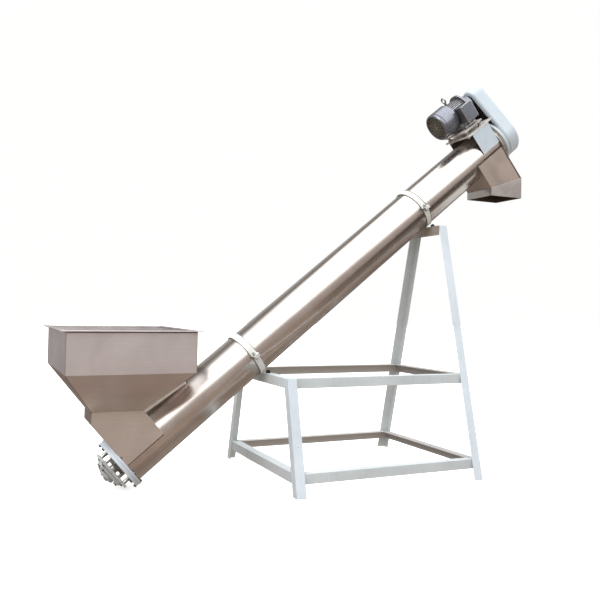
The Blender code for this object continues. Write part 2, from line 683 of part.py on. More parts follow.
def build_upper_end():
    """Tube flange, end cover and bearing housing between the tube and the belt guard."""
    flange_start = TUBE_END + GAP
    bore = TUBE_RADIUS - TUBE_WALL
    add_turned("upper_tube_flange",
               [(bore, UPPER_FLANGE_THICKNESS), (UPPER_FLANGE_RADIUS, UPPER_FLANGE_THICKNESS),
                (UPPER_FLANGE_RADIUS, 0.0), (bore, 0.0), (bore, UPPER_FLANGE_THICKNESS)],
               STAINLESS, tube_frame(flange_start))
    cover_start = flange_start + UPPER_FLANGE_THICKNESS + GAP
    add_turned("upper_end_cover",
               [(0.0, UPPER_COVER_THICKNESS), (UPPER_COVER_RADIUS, UPPER_COVER_THICKNESS),
                (UPPER_COVER_RADIUS, UPPER_COVER_NECK), (UPPER_COVER_NECK_RADIUS, UPPER_COVER_NECK),
                (UPPER_COVER_NECK_RADIUS, 0.0), (0.0, 0.0)], WHITE_PAINT, tube_frame(cover_start))
    disc_start = TUBE_END - DRIVE_DISC_THICKNESS
    shaft_top = cover_start - GAP - disc_start
    add_turned("screw_drive_shaft",
               [(0.0, shaft_top), (DRIVE_SHAFT_RADIUS, shaft_top), (DRIVE_SHAFT_RADIUS, DRIVE_DISC_THICKNESS),
                (DRIVE_DISC_RADIUS, DRIVE_DISC_THICKNESS), (DRIVE_DISC_RADIUS, 0.0), (0.0, 0.0)],
               ZINC, tube_frame(disc_start))
    bearing_start = cover_start + UPPER_COVER_THICKNESS + GAP
    add_cylinder("upper_bearing_housing", UPPER_BEARING_RADIUS, GUARD_START - bearing_start - GAP,
                 CAST_GREY, tube_frame(bearing_start), 32)


def guard_outline():
    """Tapered belt guard seen along the tube: two unlike round ends joined by straight flanks."""
    lean = math.asin((GUARD_LOW_RADIUS - GUARD_HIGH_RADIUS) / MOTOR_OFFSET)
    steps = 20
    low_from = math.pi / 2 - lean
    low_sweep = math.pi + 2 * lean
    loop = []
    for index in range(steps + 1):
        angle = low_from + low_sweep * index / steps
        loop.append((GUARD_LOW_RADIUS * math.cos(angle), GUARD_LOW_RADIUS * math.sin(angle)))
    high_from = -math.pi / 2 + lean
    high_sweep = math.pi - 2 * lean
    for index in range(steps + 1):
        angle = high_from + high_sweep * index / steps
        loop.append((MOTOR_OFFSET + GUARD_HIGH_RADIUS * math.cos(angle), GUARD_HIGH_RADIUS * math.sin(angle)))
    return loop


def build_guard():
    add_plate("belt_guard", [guard_outline()], GUARD_DEPTH, BLUE_WHITE_PAINT,
              tube_frame(GUARD_START + GUARD_DEPTH / 2))


def build_motor_mount():
    """Bracket on the tube, two plates joined by adjusting studs."""
    half_plate = LOWER_MOUNT_TOP - MOUNT_PLATE
    bracket_side = TUBE_RADIUS + GAP + BRACKET_THICKNESS / 2
    bracket_height = half_plate - GAP - BRACKET_BOTTOM
    bracket_length = BRACKET_END - BRACKET_START
    for name, side in (("motor_bracket_front", -1), ("motor_bracket_back", 1)):
        add_box(name, (bracket_height, BRACKET_THICKNESS, bracket_length), WHITE_PAINT,
                tube_frame((BRACKET_START + BRACKET_END) / 2, BRACKET_BOTTOM + bracket_height / 2,
                           side * bracket_side))
    lower_length = LOWER_MOUNT_END - MOUNT_START
    add_box("motor_mount_lower_plate", (MOUNT_PLATE, LOWER_MOUNT_WIDTH, lower_length), WHITE_PAINT,
            tube_frame((MOUNT_START + LOWER_MOUNT_END) / 2, half_plate + MOUNT_PLATE / 2))
    upper_top = MOTOR_OFFSET - MOTOR_SHAFT_HEIGHT - GAP
    upper_bottom = upper_top - MOUNT_PLATE
    upper_length = UPPER_MOUNT_END - MOUNT_START
    add_box("motor_mount_upper_plate", (MOUNT_PLATE, UPPER_MOUNT_WIDTH, upper_length), WHITE_PAINT,
            tube_frame((MOUNT_START + UPPER_MOUNT_END) / 2, upper_bottom + MOUNT_PLATE / 2))
    stud_length = upper_bottom - LOWER_MOUNT_TOP - 2 * GAP
    stations = (MOUNT_START + STUD_INSET, UPPER_MOUNT_END - STUD_INSET)
    sides = (-UPPER_MOUNT_WIDTH / 2 + STUD_INSET, UPPER_MOUNT_WIDTH / 2 - STUD_INSET)
    places = [(along, side) for along in stations for side in sides]
    for index, (along, side) in enumerate(places):
        place = Matrix.Translation(tube_point(along, LOWER_MOUNT_TOP + GAP, side)) @ LIFT_BASIS
        add_cylinder(f"mount_stud_{index + 1}", STUD_RADIUS, stud_length, ZINC, place, SMALL_SEGMENTS)


def build_motor():
    """Foot-mounted electric motor: fan cowl, finned body with feet, end shield, terminal box, eye bolt."""
    def at(along):
        return tube_frame(along, MOTOR_OFFSET)

    add_turned("motor_fan_cowl",
               [(0.0, COWL_LENGTH), (COWL_RADIUS, COWL_LENGTH), (COWL_RADIUS, COWL_ROUNDING),
                (COWL_RADIUS - COWL_ROUNDING, 0.0), (0.0, 0.0)], MOTOR_PAINT, at(COWL_START))
    body_start = COWL_START + COWL_LENGTH + GAP
    body = add_cylinder("motor_body", MOTOR_BODY_RADIUS, MOTOR_BODY_END - body_start, MOTOR_PAINT,
                        at(body_start))
    foot_length = MOTOR_FOOT_END - MOTOR_FOOT_START
    foot_middle = (MOTOR_FOOT_START + MOTOR_FOOT_END) / 2
    foot_base = MOTOR_OFFSET - MOTOR_SHAFT_HEIGHT
    pedestal = add_box("motor_pedestal",
                       (MOTOR_PEDESTAL_TOP - foot_base, MOTOR_PEDESTAL_WIDTH, foot_length), None,
                       tube_frame(foot_middle, (MOTOR_PEDESTAL_TOP + foot_base) / 2), CUTTERS)
    feet = add_box("motor_feet", (MOTOR_FOOT_THICKNESS, MOTOR_FOOT_WIDTH, foot_length), None,
                   tube_frame(foot_middle, foot_base + MOTOR_FOOT_THICKNESS / 2), CUTTERS)
    cut_by(body, pedestal, "UNION")
    cut_by(body, feet, "UNION")
    shield_start = MOTOR_BODY_END + GAP
    shield_length = END_SHIELD_END - shield_start
    add_turned("motor_end_shield",
               [(0.0, shield_length), (END_SHIELD_BOSS_RADIUS, shield_length),
                (END_SHIELD_STEP_RADIUS, END_SHIELD_RIM), (END_SHIELD_RADIUS, END_SHIELD_RIM),
                (END_SHIELD_RADIUS, 0.0), (0.0, 0.0)],
               MOTOR_PAINT, at(shield_start))
    shaft_start = END_SHIELD_END + GAP
    add_cylinder("motor_shaft_end", MOTOR_SHAFT_RADIUS, GUARD_START - GAP - shaft_start, ZINC,
                 at(shaft_start), SMALL_SEGMENTS)
    terminal = add_box("terminal_box",
                       (TERMINAL_HIGH - TERMINAL_LOW, TERMINAL_FACE - TERMINAL_ROOT,
                        TERMINAL_END - TERMINAL_START), MOTOR_PAINT,
                       tube_frame((TERMINAL_START + TERMINAL_END) / 2, (TERMINAL_LOW + TERMINAL_HIGH) / 2,
                                  -(TERMINAL_FACE + TERMINAL_ROOT) / 2))
    body_clearance = add_cylinder("terminal_body_cut", MOTOR_BODY_RADIUS + GAP, 0.4, None, at(COWL_START),
                                  collection=CUTTERS)
    cut_by(terminal, body_clearance)


def build_eye_bolt():
    """Lifting eye on top of the motor body."""
    section = Matrix.Translation((EYE_RING_RADIUS, 0, 0)) @ Matrix.Rotation(math.pi / 2, 4, "X")
    bm = bmesh.new()
    bmesh.ops.create_circle(bm, cap_ends=True, segments=EYE_WIRE_SEGMENTS, radius=EYE_WIRE_RADIUS,
                            matrix=section)
    bmesh.ops.spin(bm, geom=bm.verts[:] + bm.edges[:] + bm.faces[:], cent=(0, 0, 0), axis=(0, 0, 1),
                   angle=math.tau, steps=24, use_merge=True, use_duplicate=False)
    inner_caps = [face for face in bm.faces if len(face.verts) == EYE_WIRE_SEGMENTS]
    bmesh.ops.delete(bm, geom=inner_caps, context="FACES_ONLY")
    mesh = finish_mesh("motor_lifting_eye", bm)
    shade_round(mesh)
    seat = MOTOR_OFFSET + MOTOR_BODY_RADIUS + GAP
    eye_height = seat + EYE_NECK + EYE_RING_RADIUS
    eye = add_object("motor_lifting_eye", mesh, ZINC, tube_frame(EYE_STATION, eye_height))
    stem_place = Matrix.Translation(tube_point(EYE_STATION, seat)) @ LIFT_BASIS
    stem = add_cylinder("eye_stem", EYE_STEM_RADIUS, EYE_STEM_LENGTH, None, stem_place, SMALL_SEGMENTS,
                        CUTTERS)
    cut_by(eye, stem, "UNION")


def centre_over_origin():
    """Put the origin on the floor, under the middle of the machine's length."""
    bpy.context.view_layer.update()
    graph = bpy.context.evaluated_depsgraph_get()
    spans = []
    for obj in PARTS.objects:
        if obj.type == "MESH":
            evaluated = obj.evaluated_get(graph)
            spans += [(obj.matrix_world @ vert.co).x for vert in evaluated.data.vertices]
    ROOT.location.x = -(min(spans) + max(spans)) / 2
    bpy.context.view_layer.update()
    return ROOT.location.x


def main():
    build_tube()
    build_screw()
    build_lower_end()
    build_hopper()
    build_chute()
    build_clamps()
    build_stand()
    build_upper_end()
    build_guard()
    build_motor_mount()
    build_motor()
    build_eye_bolt()
    shift = centre_over_origin()
    print(f"machine moved by {shift:.4f} m along X")


main()
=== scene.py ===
"""Dresses the inclined shaftless screw conveyor: finishes, fasteners, welds, motor, guard and studio.

Every size is in metres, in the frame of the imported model: +X towards the discharge end, +Z up, and the
photographed side faces -Y. A place on the inclined tube is given as a station along its axis, a height
square to it in the upright plane, and a distance to the side.
"""

import itertools
import logging
import math
from dataclasses import dataclass, replace
from enum import Enum

import bmesh
import bpy
from mathutils import Euler, Matrix, Vector


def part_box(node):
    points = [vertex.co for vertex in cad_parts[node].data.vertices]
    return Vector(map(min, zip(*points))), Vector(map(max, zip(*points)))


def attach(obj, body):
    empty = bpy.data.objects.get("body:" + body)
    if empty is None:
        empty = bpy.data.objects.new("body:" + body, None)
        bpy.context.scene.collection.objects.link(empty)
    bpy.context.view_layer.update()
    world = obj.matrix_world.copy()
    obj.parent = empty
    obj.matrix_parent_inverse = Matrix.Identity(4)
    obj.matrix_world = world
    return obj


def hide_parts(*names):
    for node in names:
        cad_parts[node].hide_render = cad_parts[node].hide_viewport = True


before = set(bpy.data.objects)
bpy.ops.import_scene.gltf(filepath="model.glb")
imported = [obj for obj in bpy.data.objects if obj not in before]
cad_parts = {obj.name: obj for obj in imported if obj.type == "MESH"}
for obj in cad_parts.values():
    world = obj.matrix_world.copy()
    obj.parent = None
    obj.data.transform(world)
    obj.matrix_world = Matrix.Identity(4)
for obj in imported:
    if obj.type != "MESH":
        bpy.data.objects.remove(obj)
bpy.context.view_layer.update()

LOG = logging.getLogger("conveyor")
BODY = "root"
MILLIMETRE = 0.001
# Edges that turn by more than this are real ones, and are eased or stay sharp.
SHARP = math.radians(32.0)
# Points closer than this are one point, in a new shape and in a CAD node's loose triangles.
DOUBLED = 0.00001
LOOSE = 0.00003
# Heights closer than this are the same level of a shape.
SAME_LEVEL = 0.0001
# Sockets of a colour Mix node, whose names are not unique.
SHARE, UNDER, OVER, MIXED = 0, 6, 7, 2
# Sine of the angle over which the studio's front turns into its back.
DOME_BLEND = 0.15
BLACK = (0.0, 0.0, 0.0, 1.0)
WHITE = (1.0, 1.0, 1.0, 1.0)

Colour = tuple[float, float, float, float]
Profile = list[tuple[float, float]]
Stops = tuple[tuple[float, str, float], ...]
ShadeHeights = tuple[tuple[float, str], ...]
Limits = tuple[float, float]
Socket = bpy.types.NodeSocket
Looks = dict[str, object]


def linear(code: str, gain: float = 1.0) -> Colour:
    """Turn an sRGB hex colour to the linear values that a shader takes.

    Args:
        code: six hex digits.
        gain: what the linear values are multiplied by.

    Returns:
        Linear red, green and blue, and an alpha of 1.
    """
    channels = [int(code[place:place + 2], 16) / 255.0 for place in (0, 2, 4)]
    red, green, blue = [value / 12.92 if value <= 0.04045 else ((value + 0.055) / 1.055) ** 2.4
                        for value in channels]
    return (red * gain, green * gain, blue * gain, 1.0)


def add_node(tree: bpy.types.NodeTree, kind: str, values: dict | None = None, links: dict | None = None,
             **settings: object) -> bpy.types.Node:
    """Add one node with its settings, constants and links.

    Args:
        tree: node tree that gets the node.
        kind: the node type's identifier.
        values: constants by socket name or number.
        links: output sockets of other nodes, by the socket that they feed.
        settings: attributes of the node itself.

    Returns:
        The new node.
    """
    node = tree.nodes.new(kind)
    for name, setting in settings.items():
        setattr(node, name, setting)
    for socket, value in (values or {}).items():
        node.inputs[socket].default_value = value
    for socket, source in (links or {}).items():
        tree.links.new(source, node.inputs[socket])
    return node


class Facing(Enum):
    """Which way a seat's local Z points, on the inclined tube."""

    UPHILL = "uphill"
    DOWNHILL = "downhill"
    LIFT = "lift"
    DROP = "drop"
    FRONT = "front"


@dataclass(frozen=True)
class TubeLine:
    """The conveying tube's line, from which every inclined piece is placed."""

    incline: float = math.radians(39.66)
    foot: float = -1.0577
    radius: float = 0.1095
    start: float = 0.187
    end: float = 2.730

    @property
    def along(self) -> Vector:
        """Direction up the tube."""
        return Vector((math.cos(self.incline), 0.0, math.sin(self.incline)))

    @property
    def across(self) -> Vector:
        """Direction square to the tube, upwards."""
        return Vector((-math.sin(self.incline), 0.0, math.cos(self.incline)))

    def point(self, along: float, across: float = 0.0, side: float = 0.0) -> Vector:
        """World place of a station, a height across and a distance to the side."""
        return Vector((self.foot, side, 0.0)) + self.along * along + self.across * across

    def seat(self, facing: Facing, along: float, across: float = 0.0, side: float = 0.0) -> Matrix:
        """Make the matrix that puts a shape on the tube's line.

        Args:
            facing: where the shape's local Z points.
            along: station along the tube.
            across: height square to the tube.
            side: distance to the side, negative to the front.

        Returns:
            A matrix with its origin at that place.
        """
        axes = {
            Facing.UPHILL: (self.across, self.along),
            Facing.DOWNHILL: (self.across, -self.along),
            Facing.LIFT: (self.along, self.across),
            Facing.DROP: (self.along, -self.across),
            Facing.FRONT: (self.along, -Vector((0.0, 1.0, 0.0))),
        }
        first, third = axes[facing]
        basis = Matrix((first, third.cross(first), third)).transposed().to_4x4()
        return Matrix.Translation(self.point(along, across, side)) @ basis


TUBE = TubeLine()


# Finishes


def lay_tone(tree: bpy.types.NodeTree, pattern: Socket, limits: Limits, under: Socket | str, over: str,
             amount: float = 1.0) -> Socket:
    """Wire one tone over another, where a pattern is strong.

    Args:
        tree: the node tree.
        pattern: the pattern's strength.
        limits: the strengths between which the upper tone comes in.
        under: the tone below, as a hex colour or the socket that gives it.
        over: the upper tone's hex colour.
        amount: how much of the upper tone shows at most.

    Returns:
        The socket that gives the colour.
    """
    low, high = limits
    share = add_node(tree, "ShaderNodeMapRange", {"From Min": low, "From Max": high, "To Max": amount},
                     {"Value": pattern})
    tones, links = {OVER: linear(over)}, {SHARE: share.outputs[0]}
    if isinstance(under, str):
        tones[UNDER] = linear(under)
    else:
        links[UNDER] = under
    return add_node(tree, "ShaderNodeMix", tones, links, data_type="RGBA").outputs[MIXED]


def tone_by_height(tree: bpy.types.NodeTree, height: Socket, tones: list[tuple[float, Colour]]) -> Socket:
    """Wire a colour that changes with height.

    Args:
        tree: the node tree.
        height: the height.
        tones: the linear colours at rising heights.

    Returns:
        The socket that gives the colour.
    """
    low, high = tones[0][0], tones[-1][0]
    level = add_node(tree, "ShaderNodeMapRange", {"From Min": low, "From Max": high}, {"Value": height})
    ramp = add_node(tree, "ShaderNodeValToRGB", links={0: level.outputs[0]})
    elements = ramp.color_ramp.elements
    elements[0].color = tones[0][1]
    elements[-1].color = tones[-1][1]
    for place, tone in tones[1:-1]:
        elements.new((place - low) / (high - low)).color = tone
    return ramp.outputs[0]


def lay_height_shade(tree: bpy.types.NodeTree, place: Socket, tone: Socket, shade_heights: ShadeHeights) -> Socket:
    """Wire painted shade: a tint, multiplied over the colour, that changes with height.

    Args:
        tree: the node tree.
        place: the Object coordinate.
        tone: the colour under the painted shade.
        shade_heights: the painted shade's tint at rising heights, none for no painted shade.

    Returns:
        The socket that gives the colour.
    """
    if not shade_heights:
        return tone
    parts = add_node(tree, "ShaderNodeSeparateXYZ", links={0: place})
    shade_tint = tone_by_height(tree, parts.outputs["Z"], [(height, linear(code)) for height, code in shade_heights])
    height_shade = add_node(tree, "ShaderNodeMix", {SHARE: 1.0}, {UNDER: tone, OVER: shade_tint}, data_type="RGBA",
                    blend_type="MULTIPLY")
    return height_shade.outputs[MIXED]


def light_dome(tree: bpy.types.NodeTree, place: Socket, front: Stops, back: Stops, glow: float) -> Socket:
    """Wire a dome's colour by height, with one run of stops in front and one behind.

    Args:
        tree: the node tree.
        place: a direction from the dome's centre.
        front: stops towards -Y, each the sine of its elevation, a hex colour and a gain.
        back: stops towards +Y.
        glow: the strength that the result is multiplied by afterwards.

    Returns:
        The socket that gives the colour.
    """
    parts = add_node(tree, "ShaderNodeSeparateXYZ", links={0: place})
    ahead, behind = [tone_by_height(tree, parts.outputs["Z"], [
        (level, linear(code, gain / glow)) for level, code, gain in stops]) for stops in (front, back)]
    turn = add_node(tree, "ShaderNodeMapRange", {"From Min": -DOME_BLEND, "From Max": DOME_BLEND},
                    {"Value": parts.outputs["Y"]})
    dome = add_node(tree, "ShaderNodeMix", None, {SHARE: turn.outputs[0], UNDER: ahead, OVER: behind},
                    data_type="RGBA")
    return dome.outputs[MIXED]


@dataclass(frozen=True)
class Finish:
    """A surface finish, made once as a material and shared by the pieces that have it."""

    name: str
    slot: str

    def material(self) -> bpy.types.Material:
        """Find the finish's material, or make it on first use.

        Returns:
            The material.
        """
        made = bpy.data.materials.get(self.name)
        if made is None:
            made = bpy.data.materials.new(self.name)
            made.use_nodes = True
            tree = made.node_tree
            shader = tree.nodes["Principled BSDF"]
            place = add_node(tree, "ShaderNodeTexCoord").outputs["Object"]
            for name, look in self.shade(tree, place).items():
                if isinstance(look, Socket):
                    tree.links.new(look, shader.inputs[name])
                else:
                    shader.inputs[name].default_value = look
        return made

    def shade(self, tree: bpy.types.NodeTree, place: Socket) -> Looks:
        """Wire the finish's patterns.

        Args:
            tree: the material's node tree.
            place: the Object coordinate.

        Returns:
            For each socket of the shader its constant, or the socket that feeds it.
        """
        raise NotImplementedError


@dataclass(frozen=True)
class GrainedSteel(Finish):
    """Stainless steel with a grain, rolled, brushed or polished along one direction.

    The grain draws reflections out across itself, and handling leaves cloudy patches in the shine.
    """

    light: str
    dark: str
    stain: str
    smooth: float
    rough: float
    stain_amount: float
    turn: float = 0.0
    grain_length: float = 160 * MILLIMETRE
    grain_width: float = 3 * MILLIMETRE
    grain_depth: float = 4.0
    grain_relief: float = 0.2 * MILLIMETRE
    cloud: float = 180 * MILLIMETRE
    cloud_limits: Limits = (0.36, 0.64)
    stain_limits: Limits = (0.45, 0.75)
    shine_limits: Limits = (0.3, 0.7)
    # Painted shade: tints by height that darken the colour, none for none.
    shade_heights: ShadeHeights = ()

    def shade(self, tree: bpy.types.NodeTree, place: Socket) -> Looks:
        """Wire grain, clouds and stains. The real grain is under 0.2 mm, so it is drawn 3 mm wide to show.

        Args:
            tree: the material's node tree.
            place: the Object coordinate.

        Returns:
            The shader's constants and the sockets that feed it.
        """
        lined = add_node(tree, "ShaderNodeMapping", {"Rotation": Euler((0.0, self.turn, 0.0)), "Scale": (
            self.grain_length, self.grain_width * self.grain_depth, self.grain_width)}, {"Vector": place},
            vector_type="TEXTURE")
        grain = add_node(tree, "ShaderNodeTexNoise", {"Scale": 1.0, "Detail": 4.0, "Roughness": 0.65},
                         {"Vector": lined.outputs[0]}).outputs[0]
        clouds = add_node(tree, "ShaderNodeTexNoise", {"Scale": 1.0 / self.cloud, "Detail": 3.0,
                                                       "Distortion": 0.6}, {"Vector": place}).outputs[0]
        patched = lay_tone(tree, clouds, self.cloud_limits, self.light, self.dark)
        toned = lay_tone(tree, grain, self.stain_limits, patched, self.stain, self.stain_amount)
        low, high = self.shine_limits
        shine = add_node(tree, "ShaderNodeMapRange", {"From Min": low, "From Max": high, "To Min":
                                                      self.smooth, "To Max": self.rough}, {"Value": grain})
        relief = add_node(tree, "ShaderNodeBump", {"Strength": 0.12, "Distance": self.grain_relief},
                          {"Height": grain})
        # The colour takes the painted shade by height, where it is given.
        return {"Metallic": 1.0, "Base Color": lay_height_shade(tree, place, toned, self.shade_heights),
                "Roughness": shine.outputs[0], "Normal": relief.outputs[0]}


@dataclass(frozen=True)
class PaintedShadeBand:
    """Painted shade: further than a reach from a plane, the coat turns to a darker shade colour."""

    across: tuple[float, float, float]
    plane: float
    reach: float
    shade_colour: str
    fade: float = 0.3 * MILLIMETRE

    def lay_painted_shade(self, tree: bpy.types.NodeTree, place: Socket, painted: Socket) -> Socket:
        """Wire the painted shade beyond the reach.

        Args:
            tree: the node tree.
            place: the Object coordinate.
            painted: the coat's colour.

        Returns:
            The socket that gives the colour.
        """
        depth = add_node(tree, "ShaderNodeVectorMath", {1: self.across}, {0: place}, operation="DOT_PRODUCT")
        aside = add_node(tree, "ShaderNodeMath", {1: self.plane}, {0: depth.outputs["Value"]},
                         operation="SUBTRACT")
        away = add_node(tree, "ShaderNodeMath", links={0: aside.outputs[0]}, operation="ABSOLUTE")
        return lay_tone(tree, away.outputs[0], (self.reach, self.reach + self.fade), painted, self.shade_colour)


@dataclass(frozen=True)
class SprayCoat(Finish):
    """Sprayed paint on steel, with orange peel, small chips and grime that has run down it.

    The peel softens its highlights, and the chips and runs keep a large face from looking flat.
    """

    colour: str
    shade_tone: str
    grime: str = "9C9488"
    chip: str = "837A70"
    gloss: float = 0.42
    dull: float = 0.58
    cloud: float = 220 * MILLIMETRE
    cloud_limits: Limits = (0.35, 0.65)
    run_width: float = 12 * MILLIMETRE
    run_length: float = 160 * MILLIMETRE
    run_limits: Limits = (0.52, 0.78)
    shine_limits: Limits = (0.35, 0.7)
    grime_amount: float = 0.14
    chip_size: float = 9 * MILLIMETRE
    chip_line: float = 0.76
    chip_fade: float = 0.02
    peel: float = 2.5 * MILLIMETRE
    peel_depth: float = 0.12 * MILLIMETRE
    sheen_metal: float = 0.0
    specular: float = 0.5
    # A band of painted shade on the coat, where it is given.
    shade_band: PaintedShadeBand | None = None

    def shade(self, tree: bpy.types.NodeTree, place: Socket) -> Looks:
        """Wire tone, runs, chips, peel and any painted shade.

        Args:
            tree: the material's node tree.
            place: the Object coordinate.

        Returns:
            The shader's constants and the sockets that feed it.
        """
        clouds = add_node(tree, "ShaderNodeTexNoise", {"Scale": 1.0 / self.cloud, "Detail": 3.0},
                          {"Vector": place}).outputs[0]
        base = lay_tone(tree, clouds, self.cloud_limits, self.colour, self.shade_tone)
        hung = add_node(tree, "ShaderNodeMapping", {"Scale": (self.run_width, self.run_width,
                                                              self.run_length)},
                        {"Vector": place}, vector_type="TEXTURE")
        runs = add_node(tree, "ShaderNodeTexNoise", {"Scale": 1.0, "Detail": 3.0, "Roughness": 0.6},
                        {"Vector": hung.outputs[0]}).outputs[0]
        soiled = lay_tone(tree, runs, self.run_limits, base, self.grime, self.grime_amount)
        specks = add_node(tree, "ShaderNodeTexNoise", {"Scale": 1.0 / self.chip_size, "Detail": 2.0},
                          {"Vector": place}).outputs[0]
        worn = lay_tone(tree, specks, (self.chip_line, self.chip_line + self.chip_fade), soiled, self.chip)
        low, high = self.shine_limits
        shine = add_node(tree, "ShaderNodeMapRange", {"From Min": low, "From Max": high, "To Min": self.gloss,
                                                      "To Max": self.dull}, {"Value": runs})
        skin = add_node(tree, "ShaderNodeTexNoise", {"Scale": 1.0 / self.peel, "Detail": 2.0},
                        {"Vector": place})
        relief = add_node(tree, "ShaderNodeBump", {"Strength": 0.25, "Distance": self.peel_depth},
                          {"Height": skin.outputs[0]})
        return {"Metallic": self.sheen_metal, "Specular IOR Level": self.specular,
                "Base Color": self.shade_band.lay_painted_shade(tree, place, worn) if self.shade_band else worn,
                "Roughness": shine.outputs[0], "Normal": relief.outputs[0]}


@dataclass(frozen=True)
class PlatedSteel(Finish):
    """Zinc-plated or bare worn steel: a soft metallic shine broken by small crystal patches and stains."""

    light: str
    dark: str
    stain: str = "6A5E50"
    patch: float = 3 * MILLIMETRE
    patch_limits: Limits = (0.0, 0.9)
    blotch: float = 18 * MILLIMETRE
    stain_limits: Limits = (0.5, 0.75)
    shine_limits: Limits = (0.3, 0.7)
    smooth: float = 0.28
    rough: float = 0.48
    stain_amount: float = 0.4
    pitting: float = 0.15 * MILLIMETRE

    def shade(self, tree: bpy.types.NodeTree, place: Socket) -> Looks:
        """Wire crystal patches, stains and shine.

        Args:
            tree: the material's node tree.
            place: the Object coordinate.

        Returns:
            The shader's constants and the sockets that feed it.
        """
        crystals = add_node(tree, "ShaderNodeTexVoronoi", {"Scale": 1.0 / self.patch}, {"Vector": place})
        base = lay_tone(tree, crystals.outputs["Distance"], self.patch_limits, self.light, self.dark)
        blotches = add_node(tree, "ShaderNodeTexNoise", {"Scale": 1.0 / self.blotch, "Detail": 4.0},
                            {"Vector": place}).outputs[0]
        low, high = self.shine_limits
        shine = add_node(tree, "ShaderNodeMapRange", {"From Min": low, "From Max": high, "To Min":
                                                      self.smooth, "To Max": self.rough}, {"Value": blotches})
        relief = add_node(tree, "ShaderNodeBump", {"Strength": 0.2, "Distance": self.pitting},
                          {"Height": blotches})
        return {"Metallic": 1.0, "Base Color": lay_tone(tree, blotches, self.stain_limits, base, self.stain,
                                                        self.stain_amount),
                "Roughness": shine.outputs[0], "Normal": relief.outputs[0]}


@dataclass(frozen=True)
class WeldBead(Finish):
    """A welding bead in stainless wire: bright ripples with straw and blue heat colours beside them."""

    steel: str = "A9A29A"
    straw: str = "A89A84"
    blue: str = "7D7F88"
    heat: float = 22 * MILLIMETRE
    straw_limits: Limits = (0.42, 0.56)
    blue_limits: Limits = (0.58, 0.7)

    def shade(self, tree: bpy.types.NodeTree, place: Socket) -> Looks:
        """Wire the heat colours, which change about every 20 mm.

        Args:
            tree: the material's node tree.
            place: the Object coordinate.

        Returns:
            The shader's constants and the sockets that feed it.
        """
        heat = add_node(tree, "ShaderNodeTexNoise", {"Scale": 1.0 / self.heat, "Detail": 2.0},
                        {"Vector": place}).outputs[0]
        warm = lay_tone(tree, heat, self.straw_limits, self.steel, self.straw)
        return {"Metallic": 1.0, "Roughness": 0.36,
                "Base Color": lay_tone(tree, heat, self.blue_limits, warm, self.blue)}


@dataclass(frozen=True)
class DustyMatt(Finish):
    """Matt finish with dust on it and almost no shine: moulded plastic, and the painted shade and painted
    highlight pieces.
    """

    colour: str = "15130F"
    dust: str = "3A362F"
    roughness: float = 0.82
    patch: float = 30 * MILLIMETRE
    dust_limits: Limits = (0.45, 0.7)

    def shade(self, tree: bpy.types.NodeTree, place: Socket) -> Looks:
        """Wire the dust, which lies in patches of about 30 mm.

        Args:
            tree: the material's node tree.
            place: the Object coordinate.

        Returns:
            The shader's constants and the sockets that feed it.
        """
        patches = add_node(tree, "ShaderNodeTexNoise", {"Scale": 1.0 / self.patch, "Detail": 5.0},
                           {"Vector": place})
        return {"Roughness": self.roughness,
                "Base Color": lay_tone(tree, patches.outputs[0], self.dust_limits, self.colour, self.dust)}


PALE_CLOTH: Stops = ((-1.0, "FFFFFC", 1.0), (1.0, "FFFFFE", 1.0))


@dataclass(frozen=True)
class GlowingCloth(Finish):
    """Studio cloth lit from behind, whose tone changes with height, in front and behind."""

    front: Stops = PALE_CLOTH
    back: Stops = PALE_CLOTH
    glow: float = 1.0

    def shade(self, tree: bpy.types.NodeTree, place: Socket) -> Looks:
        """Wire the glow by direction from the studio's middle.

        Args:
            tree: the material's node tree.
            place: the Object coordinate.

        Returns:
            The shader's constants and the sockets that feed it.
        """
        direction = add_node(tree, "ShaderNodeVectorMath", links={0: place}, operation="NORMALIZE")
        tone = light_dome(tree, direction.outputs[0], self.front, self.back, self.glow)
        return {"Base Color": BLACK, "Specular IOR Level": 0.0, "Roughness": 1.0,
                "Emission Strength": self.glow, "Emission Color": tone}


@dataclass(frozen=True)
class PaleFloor(Finish):
    """Pale studio floor, painted and rolled: matt, with broad faint clouds, and lifted by its own light."""

    colour: str = "F2F1EE"
    cloud_tone: str = "ECEAE6"
    cloud: float = 400 * MILLIMETRE
    lift: float = 0.65

    def shade(self, tree: bpy.types.NodeTree, place: Socket) -> Looks:
        """Wire the clouds, about 400 mm across.

        Args:
            tree: the material's node tree.
            place: the Object coordinate.

        Returns:
            The shader's constants and the sockets that feed it.
        """
        clouds = add_node(tree, "ShaderNodeTexNoise", {"Scale": 1.0 / self.cloud, "Detail": 4.0},
                          {"Vector": place})
        toned = add_node(tree, "ShaderNodeMix", {UNDER: linear(self.colour), OVER: linear(self.cloud_tone)},
                         {SHARE: clouds.outputs[0]}, data_type="RGBA")
        return {"Roughness": 0.85, "Emission Color": WHITE, "Emission Strength": self.lift,
                "Base Color": toned.outputs[MIXED]}


# Stainless sheet of the hopper, brushed level: long soft reflections with a faint level grain.
BRUSHED_SHEET = GrainedSteel("brushed_stainless_sheet", "stainless_sheet", light="DCDADC", dark="CECBCC",
                             stain="9A8E86", smooth=0.30, rough=0.38, stain_amount=0.12)
# The same sheet with painted shade by height: darker and browner over the taper's upper half.
TAPER_SHEET = replace(BRUSHED_SHEET, name="taper_sheet_painted_shade", light="FFFFFF", dark="F3F2F2", shade_heights=(
    (0.360, "FBF7F2"), (0.382, "F1ECE7"), (0.429, "DAD0C9"), (0.476, "D8C8C4"), (0.523, "D6CAC5")))
